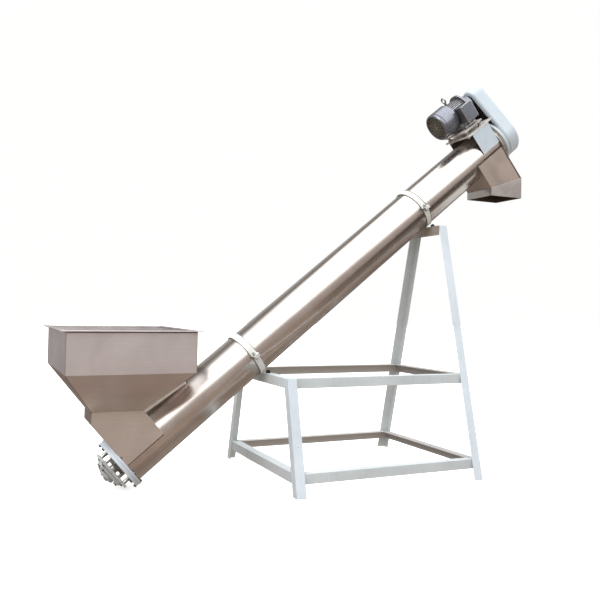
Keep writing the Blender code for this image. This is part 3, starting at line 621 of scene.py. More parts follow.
# The neck's sheet with painted shade by height: darkest just under the taper.
NECK_SHEET = replace(BRUSHED_SHEET, name="neck_sheet_painted_shade", light="FFFFFF", dark="F3F2F2", shade_heights=(
    (0.300, "D9D3CD"), (0.325, "D6CFC8"), (0.351, "CAC3BB")))
# Stainless sheet of the chute, as rolled and handled: browner, with clearer reflections along the tube.
ROLLED_SHEET = GrainedSteel("rolled_stainless_sheet", "stainless_sheet", light="BBAFA6", dark="A89D94",
                            stain="8A7E74", smooth=0.27, rough=0.31, stain_amount=0.05,
                            turn=-TUBE.incline)
# The collar round the outlet, of newer and finer brushed sheet: cooler and brighter than the chute.
COLLAR_SHEET = GrainedSteel("fine_brushed_collar_sheet", "stainless_sheet", light="D1D2D1", dark="C1BFBD",
                            stain="9A8E86", smooth=0.21, rough=0.25, stain_amount=0.05)
# Turned flange, dull from the lathe: wide weak highlights.
TURNED_FLANGE = GrainedSteel("turned_stainless_flange", "stainless_sheet", light="B0A8A2", dark="9A928C",
                             stain="7A6E64", smooth=0.5, rough=0.62, stain_amount=0.3)
# Drawn tube, polished along its length: a near mirror, with streaks along it, drawn 5 mm wide to show.
POLISHED_TUBE = GrainedSteel("polished_stainless_tube", "polished_tube", light="CDC8C3", dark="C0B9B3",
                             stain="8E8074", turn=-TUBE.incline, grain_length=700 * MILLIMETRE,
                             grain_width=5 * MILLIMETRE, smooth=0.19, rough=0.26, stain_amount=0.16)
# Hot-wound spiral bar, rubbed bright and stained by the conveyed material: dark with dull glints.
SPIRAL_BAR = PlatedSteel("worn_spiral_bar", "spiral_steel", light="8E857E", dark="6A615A", stain="4A3C30",
                         patch=14 * MILLIMETRE, smooth=0.35, rough=0.6, stain_amount=0.7)
# Zinc plating, fresh on shafts, studs and bolts: light grey with small bright patches.
ZINC = PlatedSteel("zinc_plated_steel", "zinc_steel", light="C6C7C6", dark="A09F9C")
# The same plating, weathered on the feed end's bolts, which show as grey dots on the white plates.
DULL_ZINC = PlatedSteel("dull_zinc_plated_steel", "zinc_steel", light="7E807E", dark="535451", stain="463F36",
                        smooth=0.34, rough=0.55)
# Blackened bolts that hold the clamps down: almost black, with a weak oily shine.
BLACK_BOLT = PlatedSteel("black_oxide_steel", "zinc_steel", light="4A4A47", dark="30302E", stain="2A2622",
                         smooth=0.4, rough=0.6)
# Sand-cast iron, painted light grey: a rough skin, with dark grime in its hollows.
CASTING = SprayCoat("grey_painted_casting", "cast_grey", colour="CACDCE", shade_tone="B4B7B7",
                    grime="3C3A34", gloss=0.42, dull=0.62, peel=2 * MILLIMETRE,
                    peel_depth=0.5 * MILLIMETRE, grime_amount=0.6)
# The same casting, darker and yellower on the gland: painted shade of the hollow between the flange and the
# bearing plate.
GLAND_SHADED_CASTING = replace(CASTING, name="gland_casting_painted_shade", colour="8F8D85", shade_tone="77756D")
# White enamel sprayed on the stand's rings and the upper cover: matt and faintly grey, with soft runs.
WHITE_COAT = SprayCoat("white_sprayed_steel", "white_paint", colour="D6DDE0", shade_tone="C9D0D3",
                       specular=0.2)
# The same enamel on the legs, in tones of painted light for how light falls on each pair: bluer on the front
# ones, whiter on the back ones.
FRONT_LEG_PAINTED_LIGHT_COAT = replace(WHITE_COAT, name="front_leg_coat_painted_light", colour="DCE6EE", shade_tone="D0DAE2")
BACK_LEG_PAINTED_LIGHT_COAT = replace(WHITE_COAT, name="back_leg_coat_painted_light", colour="E1E8EA", shade_tone="D5DCDE")
# Enamel on the feed end's plates: cleaner and bluer than the stand, with a silk gloss.
PLATE_COAT = SprayCoat("blue_white_sprayed_plate", "white_paint", colour="DFE9F4", shade_tone="D3DDE9")
# Enamel on the clamps' straps: the whitest of all, painted light of their lit tops.
STRAP_COAT = SprayCoat("white_sprayed_strap", "white_paint", colour="EFF1EE", shade_tone="E2E4E0")
# Enamel on the motor's plates: warm grey, darker than the stand's white, with brown runs.
MOUNT_COAT = SprayCoat("warm_grey_sprayed_steel", "white_paint", colour="D6D3CF", shade_tone="C4C0BA",
                       grime="6E625A", grime_amount=0.35)
# Enamel on the motor's bracket sides: a pale blue, like the guard's.
BRACKET_COAT = SprayCoat("pale_blue_sprayed_steel", "white_paint", colour="CBD9E4", shade_tone="BFCEDA")
# Crossbar under the tube: a darker, browner copy of the white coat, with brown runs.
BROWN_CROSSBAR_COAT = SprayCoat("brown_grey_crossbar_coat", "white_paint", colour="B4ABA1", shade_tone="A2988E", grime="7C7268",
                        grime_amount=0.35)
# Pressed sheet of the guard in pale blue gloss: soft-edged highlights on its rim.
GUARD_COAT = SprayCoat("pale_blue_sprayed_sheet", "pale_blue_paint", colour="D4E1EB", shade_tone="C9D7E2",
                       gloss=0.30, dull=0.44, grime_amount=0.14, chip_line=0.74)
# Metallic enamel on the motor's castings: a glossy grey-blue with a glint of metal.
MOTOR_COAT = SprayCoat("grey_blue_motor_enamel", "motor_paint", colour="82858F", shade_tone="757780",
                       grime="5A574E", chip="B4B0AA", gloss=0.20, dull=0.30, peel=5 * MILLIMETRE,
                       peel_depth=0.05 * MILLIMETRE, grime_amount=0.3, chip_line=0.80, sheen_metal=0.6)
# The same enamel in lit and shaded copies: lighter and warmer on the body as painted light, darker and bluer
# on the terminal box as painted shade, and pale at the lid's rim as a painted highlight.
BODY_PAINTED_LIGHT_COAT = replace(MOTOR_COAT, name="body_enamel_painted_light", colour="8E8E92", shade_tone="807F82")
BOX_PAINTED_SHADE_COAT = replace(MOTOR_COAT, name="box_enamel_painted_shade", colour="757B84", shade_tone="6A7079")
LID_RIM_PAINTED_HIGHLIGHT = replace(MOTOR_COAT, name="lid_rim_painted_highlight", colour="CBC8C6", shade_tone="BBB8B5")
# Enamelled wire of the grille, matt under the dust that the fan draws in.
GRILLE_COAT = SprayCoat("dusty_grille_enamel", "motor_paint", colour="7B7668", shade_tone="69655A",
                        grime="57524A", gloss=0.5, dull=0.7, grime_amount=0.5)
# Stainless weld, brushed clean: a fine bright line, straw and blue in places.
BEAD = WeldBead("stainless_weld_bead", "stainless_sheet")
# Dark seam bead: a dark weld joint where the neck meets the tube, and painted shadow of the gaps under the
# hopper's rim and along the chute.
DARK_SEAM_AND_SHADOW = WeldBead("dark_seam_painted_shadow", "stainless_sheet", straw="645248", blue="47434A", steel="54473F")
# Painted highlight along the taper's corners: a smooth cream line with a little dust.
PAINTED_HIGHLIGHT_BEAD = DustyMatt("taper_edge_painted_highlight", "stainless_sheet", colour="F4F1EB", dust="E4DFD5", roughness=0.45)
# Painted shade: the black floor of the guard's back recess, and the dark disc behind the fan's grille, matt
# with a little dust.
GUARD_RECESS_PAINTED_SHADE = DustyMatt("guard_recess_painted_shade", "pale_blue_paint")
FAN_PAINTED_SHADE = DustyMatt("fan_disc_painted_shade", "motor_paint", colour="47443B", dust="5C5850")
# Glands moulded in brown nylon: a waxy half-shine.
GLAND_PLASTIC = DustyMatt("moulded_gland_plastic", "motor_paint", colour="8A7B66", dust="6E6250",
                          roughness=0.5)
# The floor and the cloth behind it are one even white, without a horizon.
FLOOR_COAT = PaleFloor("pale_studio_floor", "white_paint")
PLAIN_WHITE: Stops = ((-1.0, "FFFFFF", 1.0), (1.0, "FFFFFE", 1.0))
BACKDROP = GlowingCloth("white_backdrop_cloth", "white_paint", front=PLAIN_WHITE, back=PLAIN_WHITE)
# Cloth that the steel mirrors: brown-grey below, darker low at the back, and bright overhead.
REFLECTED_STUDIO = GlowingCloth(
    "reflected_studio_cloth", "white_paint", glow=3.2,
    front=((-1.0, "A5958A", 1.0), (-0.62, "9E8D82", 1.0), (-0.45, "BFAB9E", 1.0), (-0.3, "B8A497", 1.0),
           (-0.12, "BBAA9F", 1.0), (0.02, "C9BDB8", 1.0), (0.30, "C4B9B4", 1.0), (0.40, "FFFFFF", 2.8),
           (1.0, "FFFFFF", 3.2)),
    back=((-1.0, "AFA297", 1.0), (-0.5, "A2958B", 1.0), (-0.3, "80746E", 1.0), (-0.16, "5E5250", 1.0),
          (-0.04, "B2AAA7", 1.0), (0.14, "B0AAA7", 1.0), (0.34, "D4D0CE", 1.0), (0.48, "C8C4C2", 1.0),
          (0.62, "B6B2B0", 1.0), (0.70, "8A8684", 1.0), (0.84, "8E8987", 1.0), (0.92, "FFFFFF", 2.6),
          (1.0, "FFFFFF", 3.2)))
# Dark card whose streak runs along the underside of the tube's upper half, deeper uphill.
DARK_CARD = GlowingCloth(
    "dark_reflection_card", "white_paint",
    front=((-1.0, "938578", 1.0), (-0.085, "938578", 1.0), (0.05, "857970", 1.0), (0.145, "665A54", 1.0),
           (0.2, "4A3C36", 1.0), (1.0, "3E2D28", 1.0)))
# White card that lights the faces towards the discharge end.
WHITE_CARD = GlowingCloth("white_reflection_card", "white_paint",
                          back=((-1.0, "F4F0EE", 1.0), (1.0, "FFFFFF", 1.0)))
# Where a coat's band ends, painted shadow and shade: first along the straps' downhill edges, where their
# shadow falls on the tube.
STRAP_PAINTED_SHADOW = "85857F"
# Painted shade on the inner faces of the back and right beams, under their top flanges.
BEAM_PAINTED_SHADE = {"right": "B4B2B0", "back": "CBC9C6"}
# Painted shade on the inner faces of the motor's bracket sides.
BRACKET_PAINTED_SHADE = "6E5F57"


# Shapes


# How far the edges of CAD nodes are eased: cut sheet, plate, folded sheet, rolled bar and castings.
SHEET_EDGE, PLATE_EDGE, FOLD_EDGE, BAR_EDGE, CAST_EDGE = 0.0006, 0.0008, 0.001, 0.0012, 0.0016
# Length of a weld's ripple, and the bead's width between ripples and at its tip as a share of the whole.
BEAD_PITCH, BEAD_VALLEY, BEAD_TIP = 0.0045, 0.72, 0.6


def ease_edges(shape: bmesh.types.BMesh, width: float, segments: int = 2) -> bmesh.types.BMesh:
    """Round the sharp edges of a shape.

    Args:
        shape: the shape, which is changed.
        width: how far the rounding reaches from the edge.
        segments: faces across the rounding.

    Returns:
        The same shape.
    """
    sharp = [edge for edge in shape.edges if edge.is_manifold and edge.calc_face_angle(0.0) > SHARP]
    bmesh.ops.bevel(shape, geom=sharp, offset=width, offset_type="OFFSET", affect="EDGES",
                    segments=segments, profile=0.5, material=-1, clamp_overlap=True)
    return shape


def block(size: tuple[float, float, float], edge: float = 0.0) -> bmesh.types.BMesh:
    """Make a block centred on its seat.

    Args:
        size: length along local X, Y and Z.
        edge: rounding of its edges, 0 for none.

    Returns:
        The shape.
    """
    shape = bmesh.new()
    bmesh.ops.create_cube(shape, size=1.0, matrix=Matrix.Diagonal((*size, 1.0)))
    return ease_edges(shape, edge) if edge else shape


def rod(radius: float, length: float, sides: int = 24, edge: float = 0.0) -> bmesh.types.BMesh:
    """Make a round or many-sided bar from its seat up local Z.

    Args:
        radius: radius to the corners.
        length: length of the bar.
        sides: number of sides.
        edge: rounding of its edges, 0 for none.

    Returns:
        The shape.
    """
    shape = bmesh.new()
    bmesh.ops.create_cone(shape, cap_ends=True, segments=sides, radius1=radius, radius2=radius, depth=length,
                          matrix=Matrix.Translation((0.0, 0.0, length / 2)))
    return ease_edges(shape, edge) if edge else shape


def spin_full(shape: bmesh.types.BMesh, steps: int) -> None:
    """Spin a shape's outline full circle about local Z, in so many steps."""
    bmesh.ops.spin(shape, geom=shape.verts[:] + shape.edges[:], cent=(0.0, 0.0, 0.0), axis=(0.0, 0.0, 1.0),
                   angle=math.tau, steps=steps, use_merge=True, use_duplicate=False)


def turned(profile: Profile, steps: int = 64, edge: float = 0.0) -> bmesh.types.BMesh:
    """Turn a profile about local Z.

    Args:
        profile: points as radius and height; the first and last are on the axis or the same.
        steps: faces round the shape.
        edge: rounding of its sharp edges, 0 for none.

    Returns:
        The closed shape.
    """
    shape = bmesh.new()
    points = [shape.verts.new((radius, 0.0, height)) for radius, height in profile]
    for pair in zip(points, points[1:]):
        shape.edges.new(pair)
    spin_full(shape, steps)
    bmesh.ops.remove_doubles(shape, verts=shape.verts[:], dist=DOUBLED)
    bmesh.ops.recalc_face_normals(shape, faces=shape.faces[:])
    return ease_edges(shape, edge) if edge else shape


def ring(radius: float, wire: float, steps: int = 64, sides: int = 8) -> bmesh.types.BMesh:
    """Make a ring of round wire about local Z.

    Args:
        radius: radius of the ring's centre line.
        wire: radius of the wire.
        steps: faces round the ring.
        sides: faces round the wire.

    Returns:
        The shape.
    """
    shape = bmesh.new()
    turn = Matrix.Translation((radius, 0.0, 0.0)) @ Matrix.Rotation(math.pi / 2, 4, "X")
    bmesh.ops.create_circle(shape, cap_ends=False, segments=sides, radius=wire, matrix=turn)
    spin_full(shape, steps)
    bmesh.ops.recalc_face_normals(shape, faces=shape.faces[:])
    return shape


def seat_along(start: Vector, run: Vector) -> Matrix:
    """Make a seat at a world place whose local Z points along a run."""
    return Matrix.Translation(start) @ run.to_track_quat("Z", "Y").to_matrix().to_4x4()


def bead(start: Vector, end: Vector, radius: float) -> bmesh.types.BMesh:
    """Make a rippled welding bead between two world places.

    Args:
        start: where the bead begins.
        end: where it ends.
        radius: half its width.

    Returns:
        The shape, already in place.
    """
    run = end - start
    ripples = max(2, round(run.length / BEAD_PITCH))
    shape = bmesh.new()
    bmesh.ops.create_circle(shape, cap_ends=True, segments=6, radius=radius * BEAD_TIP)
    loop = [edge for edge in shape.edges if edge.is_boundary]
    step = run.length / ripples / 2
    for index in range(2 * ripples):
        grown = bmesh.ops.extrude_edge_only(shape, edges=loop)["geom"]
        rim = [item for item in grown if isinstance(item, bmesh.types.BMVert)]
        loop = [item for item in grown if isinstance(item, bmesh.types.BMEdge) and item.is_boundary]
        swell = 1.0 / BEAD_VALLEY if index % 2 == 0 else BEAD_VALLEY
        if index == 0:
            swell = 1.0 / BEAD_TIP
        centre = Matrix.Translation((0.0, 0.0, index * step))
        bmesh.ops.scale(shape, vec=(swell, swell, 1.0), verts=rim, space=centre.inverted())
        bmesh.ops.translate(shape, vec=(0.0, 0.0, step), verts=rim)
    bmesh.ops.edgeloop_fill(shape, edges=loop)
    bmesh.ops.recalc_face_normals(shape, faces=shape.faces[:])
    bmesh.ops.transform(shape, matrix=seat_along(start, run), verts=shape.verts[:])
    return shape


def make_object(name: str, shape: bmesh.types.BMesh, *finishes: Finish) -> bpy.types.Object:
    """Make an object of a shape, at the origin, and put its finishes on.

    Args:
        name: the object's name.
        shape: the shape, which is used up.
        finishes: its finishes, in the order of their material numbers.

    Returns:
        The object.
    """
    mesh = bpy.data.meshes.new(name)
    shape.to_mesh(mesh)
    shape.free()
    for finish in finishes:
        mesh.materials.append(finish.material())
    made = bpy.data.objects.new(name, mesh)
    bpy.context.scene.collection.objects.link(made)
    return made


def add_modifier(piece: bpy.types.Object, name: str, kind: str, **settings: object) -> None:
    """Add a modifier with its settings.

    Args:
        piece: the object that gets it.
        name: the modifier's name.
        kind: the modifier's type.
        settings: its attributes.
    """
    modifier = piece.modifiers.new(name, kind)
    for setting, value in settings.items():
        setattr(modifier, setting, value)


class Workpiece:
    """A mesh in the making, which ends as one named piece that rides on the machine."""

    def __init__(self, name: str) -> None:
        """Start an empty workpiece.

        Args:
            name: the piece's name.
        """
        self.name = name
        self.mesh = bmesh.new()

    def add(self, shape: bmesh.types.BMesh, *seats: Matrix, material: int = 0) -> None:
        """Add a shape once at each seat, or as it lies if no seat is given.

        Args:
            shape: the shape, which is used up.
            seats: where its copies go.
            material: which of the piece's finishes it has.
        """
        if material:
            for face in shape.faces:
                face.material_index = material
        holder = bpy.data.meshes.new("shape")
        shape.to_mesh(holder)
        shape.free()
        for seat in seats or (Matrix.Identity(4),):
            before = len(self.mesh.verts)
            self.mesh.from_mesh(holder)
            self.mesh.verts.ensure_lookup_table()
            bmesh.ops.transform(self.mesh, matrix=seat, verts=self.mesh.verts[before:])
        bpy.data.meshes.remove(holder)

    def done(self, *finishes: Finish, stands_for: tuple[str, ...] = ()) -> None:
        """Make the piece, put its finishes on and let it ride.

        Args:
            finishes: its finishes, in the order of their material numbers.
            stands_for: CAD nodes that the piece replaces.
        """
        bmesh.ops.recalc_face_normals(self.mesh, faces=self.mesh.faces[:])
        piece = make_object(self.name, self.mesh, *finishes)
        piece.data.shade_smooth()
        piece.data.set_sharp_from_angle(angle=SHARP)
        add_modifier(piece, "flats", "WEIGHTED_NORMAL", keep_sharp=True)
        if stands_for:
            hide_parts(*stands_for)
        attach(piece, BODY)
        LOG.info("piece %s: %d faces", self.name, len(piece.data.polygons))


def dress(finish: Finish, *nodes: str, edge: float = PLATE_EDGE) -> None:
    """Give CAD nodes a finish and soften their edges without touching their meshes' places.

    Args:
        finish: the finish to put on.
        nodes: names of the nodes.
        edge: rounding of their edges, 0 for none.
    """
    for name in nodes:
        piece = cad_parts[name]
        mesh = piece.data
        for layer in ("custom_normal", "sharp_edge", "sharp_face"):
            if layer in mesh.attributes:
                mesh.attributes.remove(mesh.attributes[layer])
        mesh.shade_smooth()
        mesh.materials.clear()
        mesh.materials.append(finish.material())
        add_modifier(piece, "weld", "WELD", merge_threshold=LOOSE)
        if edge:
            add_modifier(piece, "edge", "BEVEL", limit_method="ANGLE", angle_limit=SHARP, width=edge,
                         segments=2, use_clamp_overlap=True)
        add_modifier(piece, "flats", "WEIGHTED_NORMAL", keep_sharp=True)
        LOG.info("node %s: %s", name, finish.name)


# Fasteners


@dataclass(frozen=True)
class HexFastener:
    """A hexagon bolt or nut with its washer, by its size over the flats."""

    flats: float
    height: float
    washer: float = 0.0
    washer_thickness: float = 0.0016
    washer_edge: float = 0.0003
    chamfer_share: float = 0.06
    thread: float = 0.004
    thread_end: float = 0.0
    thread_edge: float = 0.0006

    def fit(self, work: Workpiece, seats: list[Matrix]) -> None:
        """Add the fastener at each seat, on the face that the seat's Z leaves.

        Args:
            work: the workpiece that gets them.
            seats: places on the face, local Z away from it.
        """
        lift = Matrix.Identity(4)
        if self.washer:
            work.add(rod(self.washer, self.washer_thickness, 20, self.washer_edge), *seats)
            lift = Matrix.Translation((0.0, 0.0, self.washer_thickness))
        head = rod(self.flats / math.sqrt(3.0), self.height, 6)
        top = [edge for edge in head.edges
               if min(vert.co.z for vert in edge.verts) > self.height - SAME_LEVEL]
        bmesh.ops.bevel(head, geom=top, offset=self.flats * self.chamfer_share, offset_type="OFFSET",
                        affect="EDGES", segments=1, profile=0.5, material=-1)
        raised = [seat @ lift for seat in seats]
        work.add(head, *raised)
        if self.thread_end:
            work.add(rod(self.thread, self.height + self.thread_end, 14, self.thread_edge), *raised)


# Bolt heads, screws and nuts by their thread, with a washer or a thread's end where the real ones show it.
M5_SCREW = HexFastener(0.008, 0.0035)
M6_SCREW = HexFastener(0.010, 0.004)
M6_NUT = HexFastener(0.010, 0.005, thread_end=0.002)
M8_BOLT = HexFastener(0.013, 0.0053, washer=0.008)
M8_FLANGE_BOLT = HexFastener(0.013, 0.0060, washer=0.0090)
M8_NUT = HexFastener(0.013, 0.0065, thread_end=0.003)
M8_THIN_NUT = HexFastener(0.013, 0.0053, thread_end=0.002)
M10_BOLT = HexFastener(0.017, 0.0064, washer=0.0105)
M10_NUT = HexFastener(0.017, 0.0068, washer=0.0105, thread=0.005, thread_end=0.006)
M12_SADDLE_NUT = HexFastener(0.019, 0.0100, washer=0.0115, thread=0.006, thread_end=0.004)
M12_NUT = HexFastener(0.019, 0.0075, washer=0.0112)
M12_END_NUT = replace(M12_NUT, thread=0.006, thread_end=0.003)


def grid_seats(facing: Facing, along: tuple[float, ...], across: tuple[float, ...],
               side: tuple[float, ...]) -> list[Matrix]:
    """Make a seat at every crossing of some stations, heights and distances to the side.

    Args:
        facing: where each seat's Z points.
        along: the stations.
        across: the heights square to the tube.
        side: the distances to the side.

    Returns:
        The seats.
    """
    return [TUBE.seat(facing, *place) for place in itertools.product(along, across, side)]


def round_seats(facing: Facing, along: float, radius: float, count: int, turn: float,
                across: float = 0.0) -> list[Matrix]:
    """Spread seats evenly on a circle about the tube's line or one parallel to it.

    Args:
        facing: where each seat's Z points, uphill or downhill.
        along: station of the circle.
        radius: the circle's radius.
        count: how many seats.
        turn: angle of the first seat, in degrees.
        across: height of the circle's centre above the tube's line.

    Returns:
        The seats.
    """
    centre = TUBE.seat(facing, along, across)
    turns = [math.radians(turn) + math.tau * index / count for index in range(count)]
    return [centre @ Matrix.Rotation(angle, 4, "Z") @ Matrix.Translation((radius, 0.0, 0.0))
            for angle in turns]


# Sub-assemblies


@dataclass
class Conveyor:
    """Tube with its spiral and the shafts that carry it."""

    weld_radius: float = 0.0022
    weld_offset: float = 0.0008
    weld_inset: float = 0.001

    def dress(self) -> None:
        """Put finishes on the tube, the spiral and the shafts."""
        dress(POLISHED_TUBE, "conveyor_tube", edge=SHEET_EDGE)
        dress(SPIRAL_BAR, "screw_flight", edge=BAR_EDGE)
        dress(ZINC, "screw_drive_shaft", "lower_stub_shaft")

    def build(self) -> None:
        """Weld the tube to its two end flanges."""
        work = Workpiece("tube_flange_welds")
        for station in (TUBE.start + self.weld_inset, TUBE.end - self.weld_inset):
            work.add(ring(TUBE.radius + self.weld_offset, self.weld_radius),
                     TUBE.seat(Facing.UPHILL, station))
        work.done(BEAD)


@dataclass
class LowerEnd:
    """Feed end: flange, cover, gland, stand-offs, bearing plate and flange bearing."""

    flange_top: float = 0.1867
    cover_face: float = 0.1614
    flange_bolt_circle: float = 0.1172
    flange_bolts: int = 8
    plate_face: float = 0.1208
    standoff_half_pitch: float = 0.060
    base_face: float = 0.1065
    base_half_pitch: float = 0.043
    nose_face: float = 0.0882
    first_bolt: float = 22.5
    nipple_inset: float = 0.010
    nipple_height: float = 0.0385

    def dress(self) -> None:
        """Put finishes on the end's plates and castings."""
        dress(PLATE_COAT, "lower_tube_flange", "lower_end_cover")
        dress(CASTING, "lower_bearing_plate", edge=0.002)
        dress(ZINC, "bearing_standoff_1", "bearing_standoff_2", "bearing_standoff_3", "bearing_standoff_4")
        dress(CASTING, "lower_bearing_base", "lower_bearing_nose", edge=CAST_EDGE)
        dress(GLAND_SHADED_CASTING, "lower_shaft_gland", edge=CAST_EDGE)

    def build(self) -> None:
        """Bolt the cover to the flange, the plate to the stand-offs and the bearing to the plate."""
        work = Workpiece("lower_flange_bolts")
        circle = (self.flange_bolt_circle, self.flange_bolts, self.first_bolt)
        M8_FLANGE_BOLT.fit(work, round_seats(Facing.DOWNHILL, self.cover_face, *circle))
        M8_NUT.fit(work, round_seats(Facing.UPHILL, self.flange_top, *circle))
        work.done(DULL_ZINC)

        work = Workpiece("bearing_plate_bolts")
        for fastener, face, pitch in ((M8_THIN_NUT, self.plate_face, self.standoff_half_pitch),
                                      (M10_BOLT, self.base_face, self.base_half_pitch)):
            fastener.fit(work, grid_seats(Facing.DOWNHILL, (face,), (-pitch, pitch), (-pitch, pitch)))
        work.done(DULL_ZINC)

        nipple = Workpiece("bearing_grease_nipple")
        nipple.add(turned([(0.0, 0.0), (0.0045, 0.0), (0.0045, 0.004), (0.0028, 0.005), (0.0028, 0.009),
                           (0.0036, 0.0105), (0.0030, 0.0125), (0.0, 0.013)], 16),
                   TUBE.seat(Facing.LIFT, self.nose_face + self.nipple_inset, self.nipple_height))
        nipple.done(ZINC)


@dataclass
class Hopper:
    """Feed hopper: rim, box, taper and the neck astride the tube."""

    left: float = -1.2013
    right: float = -0.6893
    half_width: float = 0.356
    fold: float = 0.5323
    rim_under: float = 0.7026
    neck_left: float = -1.0653
    neck_right: float = -0.8487
    neck_half: float = 0.1118
    neck_top: float = 0.3512
    neck_end: float = 0.385
    bead_radius: float = 0.0017
    bead_gap: float = 0.001
    seam_radius: float = 0.0026
    seam_inset: float = 0.0005
    seam_start: float = 0.002
    # A cream rod along each corner of the taper towards the discharge end is a painted highlight.
    painted_highlight_radius: float = 0.0062
    painted_highlight_shift: tuple[float, float] = (0.8, 0.3)
    painted_highlight_share: float = 0.76

    def dress(self) -> None:
        """Put the brushed finish on the sheets."""
        dress(BRUSHED_SHEET, "hopper_rim", edge=FOLD_EDGE)
        dress(BRUSHED_SHEET, "hopper_box", edge=SHEET_EDGE)
        dress(TAPER_SHEET, "hopper_taper", edge=SHEET_EDGE)
        dress(NECK_SHEET, "hopper_neck", edge=SHEET_EDGE)

    def build(self) -> None:
        """Weld the box and taper along their corners, paint a highlight along the taper's corners towards the
        discharge end, paint the rim's shadow, and weld the neck to the tube.
        """
        work = Workpiece("hopper_welds")
        for x_top, x_low in ((self.left, self.neck_left), (self.right, self.neck_right)):
            for side in (-1, 1):
                fold = Vector((x_top, side * self.half_width, self.fold))
                rim = Vector((x_top, side * self.half_width, self.rim_under - self.bead_gap))
                throat = Vector((x_low, side * self.neck_half, self.neck_top))
                work.add(bead(fold, rim, self.bead_radius))
                work.add(bead(throat, fold, self.bead_radius))
        work.done(BEAD)

        # A dark bead under the rim all round is painted shadow of the rim.
        under = Workpiece("hopper_rim_painted_shadow")
        level = self.rim_under - self.seam_radius
        corners = [Vector((x, y, level)) for x, y in (
            (self.left, -self.half_width), (self.right, -self.half_width),
            (self.right, self.half_width), (self.left, self.half_width))]
        for corner, following in zip(corners, corners[1:] + corners[:1]):
            under.add(bead(corner, following, self.seam_radius))
        under.done(DARK_SEAM_AND_SHADOW)

        highlight_rod = Workpiece("hopper_edge_painted_highlight")
        outward, sideways = (self.painted_highlight_radius * shift for shift in self.painted_highlight_shift)
        for side in (-1, 1):
            aside = Vector((outward, side * sideways, 0.0))
            low = Vector((self.neck_right, side * self.neck_half, self.neck_top)) + aside
            high = Vector((self.right, side * self.half_width, self.fold)) + aside
            run = (high - low) * self.painted_highlight_share
            highlight_rod.add(rod(self.painted_highlight_radius, run.length, 16, 0.001), seat_along(low, run))
        highlight_rod.done(PAINTED_HIGHLIGHT_BEAD)

        seam = Workpiece("neck_tube_seam")
        for side in (-1, 1):
            aside = side * (self.neck_half - self.seam_inset)
            seam.add(bead(TUBE.point(TUBE.start + self.seam_start, 0.0, aside),
                          TUBE.point(self.neck_end, 0.0, aside), self.seam_radius))
        seam.done(DARK_SEAM_AND_SHADOW)


@dataclass
class Clamps:
    """Two split pipe clamps that hold the tube on the stand."""

    stations: tuple[float, float] = (0.9139, 2.0982)
    width: float = 0.036
    # Width of the painted shadow along each strap's downhill edge.
    painted_shadow_width: float = 0.0070
    ear_middle: float = 0.1305
    ear_face: float = 0.0065
    saddle_bolt_side: float = 0.047
    saddle_bolt_inset: float = 0.019

    def dress(self) -> None:
        """Put paint on the clamp halves, with a painted shadow along each strap's downhill edge."""
        for label, station in zip(("lower", "upper"), self.stations):
            # The band's middle is shifted uphill, so the painted shadow lies on the downhill edge only.
            middle = TUBE.point(station + self.painted_shadow_width / 2).dot(TUBE.along)
            shade_band = PaintedShadeBand(tuple(TUBE.along), middle, (self.width - self.painted_shadow_width) / 2, STRAP_PAINTED_SHADOW)
            coat = replace(STRAP_COAT, name=f"white_sprayed_{label}_strap", shade_band=shade_band)
            dress(coat, f"{label}_clamp_top_half", f"{label}_clamp_bottom_half", edge=SHEET_EDGE)

    def build(self) -> None:
        """Bolt the ears of each clamp together, and the clamps down on the stand."""
        work = Workpiece("clamp_bolts")
        ears = (-self.ear_middle, self.ear_middle)
        M10_NUT.fit(work, grid_seats(Facing.LIFT, self.stations, (self.ear_face,), ears))
        M10_BOLT.fit(work, grid_seats(Facing.DROP, self.stations, (-self.ear_face,), ears))
        work.done(ZINC)

        saddle = Workpiece("clamp_saddle_bolts")
        for beam in ("mid_ring_left_beam", "top_crossbar"):
            low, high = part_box(beam)
            M12_SADDLE_NUT.fit(saddle, [
                Matrix.Translation((low[0] + self.saddle_bolt_inset, side * self.saddle_bolt_side, high[2]))
                for side in (-1, 1)])
        saddle.done(BLACK_BOLT)


